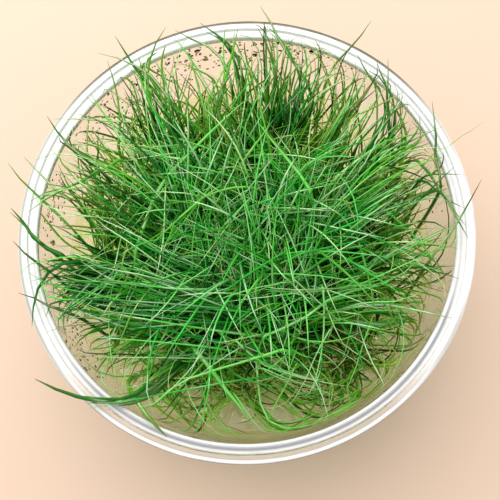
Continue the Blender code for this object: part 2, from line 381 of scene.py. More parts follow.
def rim_painted_light_and_scuffs():
    """Node group: colour and cover of the scuffed rim from its radius and side, in painted light.

    White bands are painted reflection and thin grey lines are painted shade. On the near side the
    flat flange is half clear and painted peach as the board seen through it, and on the far side
    its edge is painted dark olive as refraction. Towards the east the rim turns to painted glare.
    Streaks follow the turn: noise that changes fast across the rim and slowly along it moves the
    bands and adds scuffs.
    """
    group = bpy.data.node_groups.new("rim_painted_light_and_scuffs", "ShaderNodeTree")
    for name, kind in (("Colour", "NodeSocketColor"), ("Cover", "NodeSocketFloat")):
        group.interface.new_socket(name, in_out="OUTPUT", socket_type=kind)
    net = Network(group)
    x, y, z = net.place()
    radius = net.math("SQRT", net.math("ADD", net.math("MULTIPLY", x, x), net.math("MULTIPLY", y, y)))
    eastness, northness = net.math("DIVIDE", x, radius), net.math("DIVIDE", y, radius)
    nearness = net.math("MULTIPLY", northness, -1.0)
    across = net.math("DIVIDE", net.math("SUBTRACT", radius, RIM_INNER * MM),
                      (RIM_OUTER - RIM_INNER) * MM)
    turned_place = net.make("CombineXYZ", {
        0: net.math("MULTIPLY", eastness, STREAK_ALONG),
        1: net.math("MULTIPLY", northness, STREAK_ALONG),
        2: net.math("MULTIPLY", radius, STREAK_ACROSS / MM)})
    streak = net.make("TexNoise", {"Vector": turned_place, "Scale": 1.0, "Detail": STREAK_DETAIL})
    shift = net.math("MULTIPLY", net.math("SUBTRACT", streak, 0.5), STREAK_WAVERS)
    wavering = net.math("ADD", across, shift)
    far, left, right, near, near_cover = (
        net.ramp(wavering, [((r - RIM_INNER) / (RIM_OUTER - RIM_INNER), shade) for r, shade in rows])
        for rows in (FAR_BANDS, LEFT_BANDS, RIGHT_BANDS, NEAR_BANDS, NEAR_COVER))

    colour = net.blend(net.smooth_between(eastness, *SIDES_MEET), left, right)
    glare = net.math("MULTIPLY", net.smooth_between(eastness, *GLARE_FROM), GLARE_COVER)
    colour = net.blend(glare, colour, WHITE)
    edge = net.smooth_between(z, EDGE_FOOT * MM, (EDGE_FOOT + EDGE_FADE) * MM)
    far = net.blend(edge, SKIRT_PLAIN, far)
    colour = net.blend(net.smooth_between(nearness, *FAR_FROM), colour, far)
    near_side = net.smooth_between(nearness, *NEAR_FROM)
    colour = net.blend(near_side, colour, near)
    cover = net.blend(near_side, (1.0, 1.0, 1.0), near_cover)
    scuff = net.math("MULTIPLY", net.smooth_between(streak, *SCUFFS_FROM), SCUFF_COVER)
    out = net.nodes.new("NodeGroupOutput")
    net.feed(out.inputs["Colour"], net.blend(scuff, colour, SCUFF))
    net.feed(out.inputs["Cover"], net.math("MULTIPLY", cover, RIM_COVER))
    return group


def rim_plastic():
    """The scuffed rim, painted white as reflection of the light, with painted shade lines."""
    material, shader = principled("rim_plastic", RIM_COLOUR, RIM_ROUGHNESS, PLASTIC_IOR)
    net = Network(material.node_tree)
    bands = net.make("Group", {}, node_tree=rim_painted_light_and_scuffs()).node.outputs
    net.feed(shader.inputs["Base Color"], bands["Colour"])
    net.feed(shader.inputs["Alpha"], bands["Cover"])
    lets_light_through(material, shader, NO_TINT, RIM_PASSES)
    return material


def face_middles(mesh):
    """The middle of every face: x, y and z in mm."""
    middles = np.empty(len(mesh.polygons) * 3)
    mesh.polygons.foreach_get("center", middles)
    return middles.reshape(-1, 3).T / MM


def add_cup():
    """The turned cup, with the rim's faces in the slot painted white as reflection."""
    mesh = turned("cup_shell", cup_section(), TURN_STEPS)
    mesh.set_sharp_from_angle(angle=SHARP_FROM)
    cup = new_piece("cup_shell", mesh, [clear_plastic(), rim_plastic()])
    x, y, z = face_middles(mesh)
    out = np.hypot(x, y)
    rim = (out > PAINTED_RIM_FROM) & ((z > PAINTED_RIM_ABOVE) | (out > SKIRT_RADIUS)) | (z > PAINTED_LIP_ABOVE)
    mesh.polygons.foreach_set("material_index", rim.astype(np.int32))
    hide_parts("cup")
    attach(cup, "root")


add_cup()


# Jelly. Clear agar, faintly yellow, with a green cast that is painted light bounced off the
# leaves, poured warm into the cup and set. Its top is flat and climbs the wall a little where
# the two touch. The plants are rooted in it.
GEL_GAP = 0.1                      # between the jelly and the plastic
MENISCUS = 1.0
MENISCUS_WIDTH = 2.4
MENISCUS_POINTS = 9
TOP_FROM = 4.0                     # radius of the top's first ring,
TOP_MARGIN = 1.0                   # and how far its last one stays off the climb
TOP_RINGS = 10
GEL_TINT_AND_LEAF_LIGHT = (0.89, 0.97, 0.71)
GEL_SHADE_TINT = (0.95, 1.0, 0.87)
GEL_ROUGHNESS = 0.02
GEL_IOR = 1.34
WALL_SIDE_IOR = 1.0                # the jelly wets the plastic, so nothing shows between them


def gel_section():
    """Half section of the jelly: over its top, up the meniscus, down the wall, in below.

    The meniscus climbs by the square of how far it has come towards the wall.
    """
    tilt = math.degrees(TAPER)
    corner = (wall_inside(WALL + CORNER) - CORNER / math.cos(TAPER), WALL + CORNER)
    edge_z = GEL_TOP + MENISCUS
    edge = wall_inside(edge_z) - GEL_GAP
    climb = np.linspace(1.0, 0.0, MENISCUS_POINTS)
    points = [(0.0, GEL_TOP)]
    points += [(r, GEL_TOP)
               for r in np.linspace(TOP_FROM, edge - MENISCUS_WIDTH - TOP_MARGIN, TOP_RINGS)]
    points += [(edge - MENISCUS_WIDTH * c, GEL_TOP + MENISCUS * (1.0 - c) ** 2) for c in climb]
    points += arc(corner, CORNER - GEL_GAP, -tilt, -90.0, SMALL_ARC_POINTS)
    points += [(0.0, WALL + GEL_GAP)]
    return np.array(points) * MM


def plant_jelly(name, ior):
    """Clear agar with a faint yellow tint, greened by painted light bounced off the leaves."""
    material, shader = principled(name, GEL_TINT_AND_LEAF_LIGHT, GEL_ROUGHNESS, ior)
    shader.inputs["Transmission Weight"].default_value = 1.0
    lets_light_through(material, shader, GEL_SHADE_TINT)
    return material


def add_jelly():
    """The poured disc."""
    mesh = turned("jelly", gel_section(), TURN_STEPS)
    materials = [plant_jelly("plant_jelly", GEL_IOR), plant_jelly("jelly_on_wall", WALL_SIDE_IOR)]
    jelly = new_piece("jelly", mesh, materials)
    below = face_middles(mesh)[2] < GEL_TOP - GEL_GAP
    mesh.polygons.foreach_set("material_index", below.astype(np.int32))
    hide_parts("gel")
    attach(jelly, "root")


add_jelly()


# Leaves. Fine needle leaves that grow in small fans along each plant's runners, stand up from the
# jelly and then lie over one another. Each plant with its leaves is one piece.
TUFTS = 19
BED_RADIUS = 34.0
GOLDEN = math.radians(137.508)
FANS = 8                           # small fans of leaves on each plant's runners
FAN_SPREAD = 7.6
FAN_WIDTH = 0.9
BED_EDGE = 41.0                    # no leaf starts outside this radius
ROOTED = 1.5                       # how deep a leaf's base sits in the jelly
LEAF_WIDTH = (0.34, 0.64)
LEAF_STEPS = 12
LEAF_SIDES = 4
LEAF_TAPER = ((0.0, 0.12, 0.5, 0.8, 0.95, 1.0), (1.0, 0.95, 1.0, 0.8, 0.42, 0.1))
TOWARD_LAMP = (-0.55, 0.45, 0.7)    # the way toward the lamp, where leaves turn their ridge, painted pale as a highlight
PALE_THINS = ((0.65, 0.95), (1.0, 0.5))   # width by tone: the palest, painted highlights, are thinner, as if seen edge on
WALL_CLEAR = 0.7                   # leaves keep this far off the wall,
WALL_EASE = 2.5                    # and bend along it over this distance
TOP_EASE_FROM = 55.0               # leaves bend over from this height,
TOP_EASE = 6.5                     # and rise no more than this much above it
TINY = 1e-9                        # keeps divisions off zero
SEED = 11
chance = np.random.default_rng(SEED)

# Growth over the bed, in mm. Each row: place, mean shift of the tips, height of the tips,
# how thickly leaves stand, how much they agree, yellowness, curl.
GROWTH = (
    ((0, 0), (-6, 6), 61, 1.0, 0.35, 0.05, 0.15),
    ((-12, -14), (-20, 6), 57, 1.0, 0.7, 0.05, 0.15),
    ((8, -14), (-10, 6), 59, 1.0, 0.4, 0.05, 0.15),
    ((-30, -6), (-17, 4), 52, 0.7, 0.55, 0.45, 0.2),
    ((-28, 16), (-15, 8), 53, 0.45, 0.25, 1.1, 0.15),
    ((-14, 28), (-9, 17), 54, 0.50, 0.25, 1.1, 0.15),
    ((4, 30), (0, 17), 55, 0.6, 0.25, 1.0, 0.2),
    ((20, 24), (9, 14), 55, 0.6, 0.25, 0.95, 0.4),
    ((31, 8), (14, 8), 53, 0.5, 0.4, 0.95, 0.3),
    ((14, 4), (8, 8), 61, 1.0, 0.4, 0.05, 0.15),
    ((-10, 10), (-5, 4), 59, 1.0, 0.3, 0.1, 0.15),
    ((30, -10), (13, 0), 46, 0.65, 0.4, 1.0, 0.7),
    ((22, -24), (8, -6), 43, 0.75, 0.3, 1.0, 0.9),
    ((4, -30), (1, -9), 42, 0.9, 0.3, 0.75, 0.9),
    ((-16, -28), (-4, -6), 40, 0.85, 0.3, 1.1, 0.9),
    ((-32, -18), (-8, -2), 38, 0.6, 0.3, 1.2, 0.8),
)
GROWTH_SPAN = 9.0

# Layers of the tangle. Each row: leaves in a fan, their reach as a share of what grows there,
# their height as a share of the top, power of the outward run, power of the rise, mean tone,
# how much of the yellowing they take, whether they keep to the middle, and their width.
LAYERS = (
    # The first layer, low in the middle, is toned dark, which paints shade into the tangle's depths.
    (16, (0.15, 0.60), (0.10, 0.42), (0.9, 1.5), (1.0, 1.6), 0.20, 1.1, True, 1.1),
    (10, (0.45, 1.40), (0.55, 1.0), (1.0, 1.7), (1.0, 1.9), 0.48, 1.0, False, 1.0),
    (12, (0.10, 0.60), (0.05, 0.45), (0.9, 1.7), (1.0, 2.0), 0.42, 1.25, False, 0.8),
    (7, (0.80, 2.00), (0.78, 1.0), (1.5, 2.4), (1.5, 2.6), 0.62, 0.5, True, 1.2),
)
MIDDLE = 27.0                      # radius of the middle, where the tangle is thickest
MIDDLE_FADE = 3.2
MIDDLE_AGREES = 0.3                # its upper leaves agree only this much as well
FAN_FULLNESS = (0.6, 1.4)          # fans differ in their number of leaves
FAN_TURN = 0.55                    # radians that a fan's leaves may lie off what grows there
FAN_TONE = 0.12
FAN_DRY = 0.15
STRAY = 2.4                        # radians that leaves part by where nothing makes them agree
STRAY_POWER = 1.5
REACH_LEAST = 11.0                 # reach of a leaf that doesn't lean,
REACH_PER_SHIFT = 0.6              # and what each mm of lean adds to it
CURL_SPREAD = 1.2
TONE_SPREAD = 0.26
YELLOW_TONE = -0.04                # yellow growth is a little deeper
PALE_SHARE = 0.09                  # of the leaves are painted pale along their length as a highlight,
PALE_STEP = 0.3                    # which is this much lighter
DRY_SPREAD = 0.22

# Sheaves of leaves that lie together. The leaves of one follow one curve and part a little.
CURVE_STEPS = 61
CURVE_FINE = 16                    # fine steps for each point that a curve goes through
BACK_SHARE = 0.25                  # a lying leaf starts this share of its first run back
BACK_STEP = 3.0                    # and this much more
SHEAVES_OVER = 7                   # the first sheaves lie over the rim
SHEAF_WIDER = 1.05
SHEAF_ENDS = (0.7, 1.0)            # its leaves end in this last part of its curve
SHEAF_YAW = 0.15                   # radians that leaves of a sheaf part by
ROOT_SPREAD = (1.1, 1.1, 0.0)      # how far each way leaves part, as shares of the spread
TIP_SPREAD = (1.5, 1.5, 0.6)
BOW_SPREAD = (2.6, 2.6, 1.82)
SHEAF_TONE_SPREAD = 0.22
SHEAF_DRIER = 1.5
SHEAF_DRY_SPREAD = 0.15
DEEP_TONE = 0.25                   # sheaves darker than this grow through the clearings

# The sheaves that the view shows. Each row: points (across, down) in the view from the root end
# to the tips, their heights, number of leaves, spread in mm, tone, dryness.
SHEAVES_SEEN = (
    (((290, 330), (220, 310), (140, 290), (75, 275), (38, 258)),
     (30, 46, 52, 50, 47), 20, 2.6, 0.38, 0.05),
    (((300, 345), (235, 325), (160, 310), (100, 300), (52, 290)),
     (30, 44, 50, 50, 46), 20, 2.8, 0.32, 0.05),
    (((250, 300), (190, 285), (130, 262), (80, 245), (45, 222)),
     (30, 46, 52, 52, 48), 16, 3.2, 0.42, 0.10),
    (((215, 345), (160, 330), (110, 318), (75, 308), (56, 300)),
     (28, 40, 44, 43, 41), 14, 2.5, 0.28, 0.10),
    (((200, 330), (140, 312), (90, 304), (60, 312), (50, 335)),
     (26, 38, 41, 41, 40), 8, 1.8, 0.35, 0.10),
    (((120, 285), (85, 280), (62, 285), (44, 302)), (34, 42, 45, 45), 18, 1.8, 0.16, 0.05),
    (((118, 278), (82, 272), (60, 266), (40, 264)), (36, 44, 47, 47), 20, 1.8, 0.18, 0.05),
    (((190, 250), (150, 225), (105, 205), (70, 195), (45, 190)),
     (28, 44, 52, 52, 48), 14, 3.5, 0.45, 0.25),
    (((185, 230), (140, 205), (105, 180), (80, 160), (55, 135)),
     (26, 42, 50, 52, 48), 10, 3.5, 0.50, 0.40),
    (((200, 200), (160, 165), (125, 130), (105, 105), (90, 90)),
     (28, 44, 50, 50, 47), 9, 3.5, 0.50, 0.40),
    (((176, 190), (160, 142), (150, 108), (140, 82), (128, 60)),
     (26, 42, 50, 50, 48), 16, 1.4, 0.16, 0.12),
    (((215, 170), (190, 120), (175, 80), (165, 60), (170, 40)),
     (28, 44, 50, 50, 48), 8, 3.0, 0.45, 0.40),
    (((250, 160), (240, 115), (232, 75), (218, 50), (190, 36)),
     (28, 44, 50, 50, 47), 10, 1.8, 0.35, 0.15),
    (((274, 150), (279, 110), (284, 80), (286, 52), (276, 30)),
     (28, 44, 50, 50, 48), 12, 1.8, 0.32, 0.15),
    (((285, 150), (290, 110), (302, 78), (322, 60), (350, 54)),
     (28, 44, 50, 51, 47), 9, 1.8, 0.50, 0.30),
    (((290, 150), (300, 112), (320, 88), (350, 82), (380, 102)),
     (28, 44, 50, 48, 42), 11, 1.8, 0.55, 0.20),
    (((310, 170), (335, 130), (350, 100), (360, 78), (366, 52)),
     (28, 44, 51, 51, 48), 7, 2.4, 0.45, 0.30),
    (((345, 190), (368, 150), (384, 118), (388, 88), (387, 62)),
     (26, 42, 48, 50, 48), 20, 1.8, 0.28, 0.20),
    (((340, 200), (352, 160), (370, 132), (398, 112), (430, 104)),
     (26, 42, 48, 49, 47), 7, 2.4, 0.45, 0.35),
    (((300, 270), (335, 238), (375, 212), (415, 192), (440, 178)),
     (28, 48, 54, 52, 48), 26, 2.8, 0.52, 0.05),
    (((320, 290), (350, 262), (390, 235), (425, 212), (450, 205)),
     (28, 46, 52, 51, 47), 18, 2.8, 0.42, 0.10),
    (((310, 250), (345, 215), (385, 180), (420, 160), (440, 150)),
     (28, 48, 54, 52, 48), 14, 3.0, 0.50, 0.15),
    (((330, 220), (365, 190), (400, 165), (428, 152), (456, 142)),
     (26, 44, 50, 50, 47), 7, 2.6, 0.45, 0.30),
    (((350, 230), (385, 205), (415, 188), (436, 178), (438, 152)),
     (24, 40, 45, 45, 43), 8, 1.8, 0.45, 0.55),
    (((290, 330), (325, 301), (360, 290), (386, 286), (430, 255)),
     (28, 44, 50, 50, 46), 11, 1.6, 0.65, 0.05),
    (((310, 320), (340, 308), (386, 304), (419, 311), (452, 318)),
     (28, 42, 46, 45, 45), 5, 1.4, 0.55, 0.05),
    (((305, 310), (328, 318), (371, 324), (416, 315)), (26, 38, 42, 42), 10, 1.5, 0.45, 0.05),
    (((300, 320), (330, 319), (365, 328), (398, 336)), (26, 40, 44, 42), 6, 1.5, 0.60, 0.05),
    (((292, 290), (307, 320), (318, 354), (307, 398)), (28, 46, 48, 43), 5, 2.4, 0.30, 0.05),
    (((340, 300), (328, 330), (312, 370), (284, 412)), (28, 44, 48, 43), 4, 2.4, 0.30, 0.05),
    (((240, 330), (260, 360), (290, 374), (352, 388)), (28, 44, 46, 41), 5, 2.0, 0.60, 0.05),
    (((215, 345), (175, 370), (138, 397), (100, 401)), (28, 40, 46, 48), 14, 0.9, 0.24, 0.10),
    (((280, 300), (265, 250), (250, 200), (235, 160)), (28, 46, 55, 57), 20, 6.0, 0.60, 0.03),
    (((240, 290), (220, 240), (205, 190), (190, 150)), (28, 46, 54, 55), 18, 6.0, 0.50, 0.03),
    (((300, 310), (300, 255), (305, 205), (315, 150)), (28, 48, 56, 57), 20, 5.0, 0.60, 0.03),
    (((220, 300), (250, 270), (290, 240), (330, 220)), (28, 46, 54, 56), 12, 6.0, 0.60, 0.03),
    (((310, 260), (270, 240), (220, 225), (170, 215)), (28, 46, 54, 55), 16, 6.0, 0.58, 0.03),
    (((330, 290), (290, 275), (240, 270), (190, 262)), (30, 48, 55, 55), 18, 5.0, 0.62, 0.03),
    (((200, 240), (220, 200), (245, 150), (262, 110)), (28, 46, 54, 54), 12, 5.0, 0.60, 0.05),
    (((278, 152), (288, 128), (293, 108), (295, 90)), (28, 42, 50, 52), 56, 2.0, 0.10, 0.0),
    (((130, 284), (95, 279), (70, 273), (50, 272)), (30, 40, 44, 45), 26, 1.8, 0.13, 0.03),
    (((140, 300), (100, 292), (75, 288), (55, 295)), (28, 38, 42, 40), 24, 1.8, 0.15, 0.03),
    (((200, 325), (160, 312), (125, 305), (95, 300)), (26, 36, 40, 40), 22, 1.8, 0.18, 0.05),
    (((200, 215), (180, 200), (165, 185), (150, 175)), (24, 34, 40, 42), 9, 2.4, 0.16, 0.0),
    (((330, 250), (350, 228), (368, 210), (385, 190)), (26, 38, 44, 46), 20, 2.0, 0.14, 0.05),
    (((285, 130), (284, 105), (279, 78), (274, 50)), (28, 44, 50, 50), 18, 2.2, 0.56, 0.45),
    (((290, 130), (300, 105), (308, 80), (308, 56)), (28, 44, 50, 50), 20, 2.6, 0.56, 0.45),
    (((245, 140), (238, 105), (236, 80), (240, 52)), (30, 46, 53, 52), 16, 2.6, 0.66, 0.45),
    (((345, 240), (375, 220), (405, 200), (430, 185)), (28, 40, 44, 45), 14, 2.6, 0.20, 0.12),
    (((340, 265), (372, 248), (400, 235), (425, 225)), (28, 40, 44, 44), 14, 2.6, 0.20, 0.20),
    # Near-black leaves that also stand in for the shade of the lower right's opening: painted shade
    (((285, 325), (310, 335), (335, 340), (350, 345)), (28, 38, 42, 40), 22, 2.6, 0.06, 0.1),
    (((320, 300), (345, 316), (375, 322), (402, 332)), (28, 38, 40, 38), 14, 3.0, 0.22, 0.3),
    (((325, 310), (350, 335), (365, 355), (375, 375)), (26, 34, 34, 32), 14, 3.0, 0.20, 0.5),
    (((215, 340), (230, 358), (245, 372), (255, 385)), (26, 34, 38, 38), 16, 2.2, 0.15, 0.05),
    (((115, 275), (98, 250), (92, 222), (95, 195)), (28, 38, 44, 46), 9, 1.6, 0.32, 0.3),
    (((235, 175), (225, 140), (215, 115), (205, 92)), (32, 48, 54, 54), 20, 3.0, 0.72, 0.55),
    (((185, 165), (187, 135), (190, 112), (194, 90)), (32, 48, 54, 54), 10, 3.0, 0.72, 0.55),
    (((150, 150), (135, 130), (120, 118), (105, 112)), (28, 40, 46, 47), 8, 3.0, 0.68, 0.62),
    (((300, 180), (310, 150), (320, 122), (330, 100)), (32, 48, 53, 53), 16, 3.0, 0.74, 0.55),
    (((262, 408), (285, 425), (312, 422), (342, 404)), (24, 32, 35, 35), 26, 1.0, 0.60, 0.40),
    (((270, 385), (305, 408), (340, 398), (372, 372)), (24, 31, 34, 34), 24, 1.8, 0.55, 0.40),
    (((190, 365), (165, 368), (150, 378), (140, 395)), (20, 24, 26, 26), 16, 2.4, 0.58, 0.65),
    (((180, 350), (150, 345), (125, 350), (108, 365)), (20, 25, 28, 28), 16, 2.6, 0.60, 0.65),
    (((165, 335), (135, 325), (110, 322), (92, 330)), (20, 26, 30, 30), 12, 2.6, 0.60, 0.65),
    (((150, 320), (125, 335), (105, 350), (98, 372)), (20, 26, 29, 28), 10, 2.4, 0.58, 0.65),
    (((165, 380), (175, 400), (192, 412), (215, 420)), (22, 26, 28, 27), 16, 2.0, 0.52, 0.65),
    (((370, 280), (400, 276), (422, 284), (436, 302)), (24, 34, 38, 38), 16, 2.4, 0.62, 0.45),
    (((370, 252), (402, 252), (424, 262), (440, 282)), (24, 36, 40, 40), 16, 2.4, 0.62, 0.45),
    (((375, 315), (400, 312), (415, 325), (418, 345)), (21, 26, 28, 28), 10, 2.0, 0.55, 0.6),
    (((100, 250), (80, 225), (68, 200), (62, 178)), (22, 32, 38, 40), 6, 2.5, 0.60, 0.65),
    (((98, 278), (76, 284), (62, 298), (57, 318)), (36, 42, 42, 40), 14, 1.4, 0.20, 0.10),
    (((102, 276), (78, 276), (62, 284), (54, 300)), (38, 44, 45, 44), 16, 1.4, 0.20, 0.05),
    (((135, 260), (128, 230), (124, 200), (122, 175)), (30, 42, 46, 48), 14, 2.6, 0.70, 0.55),
    (((262, 300), (262, 260), (258, 220), (252, 185)), (32, 50, 58, 60), 18, 2.8, 0.58, 0.03),
    (((222, 300), (225, 265), (222, 235), (214, 200)), (32, 50, 57, 58), 16, 2.8, 0.62, 0.03),
    # Deep brown leaves that also stand in for the shade of the lower right's opening: painted shade
    (((300, 318), (322, 325), (340, 335), (352, 350)), (30, 40, 43, 41), 22, 2.4, 0.05, 0.66),
    (((300, 255), (300, 230), (302, 205), (306, 180)), (32, 50, 57, 58), 16, 2.4, 0.62, 0.05),
    (((345, 150), (348, 125), (350, 105), (348, 88)), (30, 44, 51, 52), 14, 2.4, 0.70, 0.55),
    (((300, 110), (304, 92), (306, 75), (300, 60)), (32, 44, 50, 50), 18, 2.2, 0.62, 0.55),
    (((275, 110), (278, 92), (282, 75), (290, 60)), (32, 44, 50, 50), 16, 2.0, 0.58, 0.50),
    (((105, 240), (92, 215), (84, 195), (80, 178)), (28, 38, 44, 46), 12, 2.2, 0.55, 0.62),
    (((300, 398), (320, 400), (340, 394), (356, 382)), (21, 26, 29, 29), 18, 1.8, 0.40, 0.50),
    (((395, 230), (412, 205), (425, 185), (430, 168)), (30, 40, 44, 45), 12, 2.0, 0.36, 0.45),
    (((188, 130), (186, 105), (184, 85), (186, 62)), (30, 42, 49, 49), 14, 3.2, 0.62, 0.50),
    (((205, 125), (196, 100), (180, 80), (170, 66)), (28, 40, 46, 47), 12, 2.8, 0.56, 0.50),
    (((215, 130), (218, 105), (222, 80), (232, 60)), (30, 42, 49, 49), 14, 3.0, 0.62, 0.50),
    (((175, 125), (186, 105), (200, 88), (212, 76)), (28, 40, 45, 46), 12, 2.6, 0.60, 0.50),
    (((345, 380), (350, 392), (338, 406), (315, 414)), (24, 28, 30, 30), 22, 1.8, 0.50, 0.40),
    (((330, 120), (342, 100), (350, 85), (352, 70)), (30, 42, 49, 49), 14, 2.6, 0.62, 0.50),
    (((385, 160), (400, 152), (416, 148), (432, 156)), (28, 38, 42, 42), 14, 2.4, 0.44, 0.62),
    (((400, 200), (418, 182), (430, 170), (438, 166)), (28, 38, 43, 43), 12, 2.2, 0.42, 0.45),
    (((110, 215), (92, 205), (78, 198), (66, 196)), (28, 38, 44, 45), 14, 2.2, 0.62, 0.50),
    (((120, 190), (95, 185), (76, 180), (62, 184)), (28, 38, 44, 46), 12, 2.2, 0.58, 0.45),
    # Deep brown leaves that also stand in for the shade of the lower right's opening: painted shade
    (((300, 320), (312, 338), (330, 345), (346, 342)), (28, 36, 40, 40), 20, 2.2, 0.03, 0.66),
    (((110, 290), (80, 292), (64, 302), (56, 316)), (32, 40, 42, 42), 14, 1.4, 0.22, 0.08),
    (((196, 140), (206, 120), (218, 105), (232, 94)), (34, 45, 53, 54), 14, 2.4, 0.78, 0.50),
    (((236, 140), (230, 122), (222, 108), (208, 98)), (34, 45, 53, 54), 14, 2.4, 0.78, 0.50),
    (((336, 140), (330, 126), (320, 114), (306, 106)), (34, 45, 52, 53), 12, 2.2, 0.76, 0.55),
    (((300, 138), (312, 124), (326, 114), (342, 108)), (34, 45, 52, 53), 12, 2.2, 0.76, 0.55),
    # Deep brown leaves that also stand in for the shade of the lower right's opening: painted shade
    (((318, 318), (330, 334), (336, 350), (336, 366)), (28, 36, 39, 38), 16, 2.0, 0.04, 0.66),
)

# Clearings, where the view shows the wall or the jelly between the leaves. Each row: middle
# (across, down), half size in pixels, and the share of the leaves that cross it still.
CLEARINGS_SEEN = (
    ((70, 222), (15, 20), 0.2), ((112, 98), (16, 14), 0.35), ((186, 104), (17, 10), 0.35),
    ((222, 60), (12, 12), 0.6), ((314, 114), (20, 11), 0.4), ((358, 140), (12, 12), 0.35),
    ((398, 125), (9, 13), 0.45), ((432, 210), (14, 14), 0.25), ((335, 344), (13, 17), 0.45),
    ((88, 322), (8, 10), 0.5), ((72, 345), (9, 14), 0.3), ((286, 108), (9, 13), 0.45),
    ((282, 404), (16, 15), 0.2), ((236, 414), (16, 12), 0.2), ((430, 322), (10, 14), 0.4),
    ((82, 247), (13, 12), 0.25),
)

# Single leaves that stand out. They are in full light, so all but the pale ones are deeper; the
# pale ones are painted highlights.
SINGLE_WIDER = 1.4
SINGLE_PALE = 0.7
SINGLE_TONE = 0.75
SINGLE_DRY = 0.1
RIM_RUN = 5.0                      # leaves rise over the rim in this distance
RIM_CLEAR = 1.2                    # and clear it by this much
RIM_NEAR = 0.8                     # a tip this near the lip counts as past it

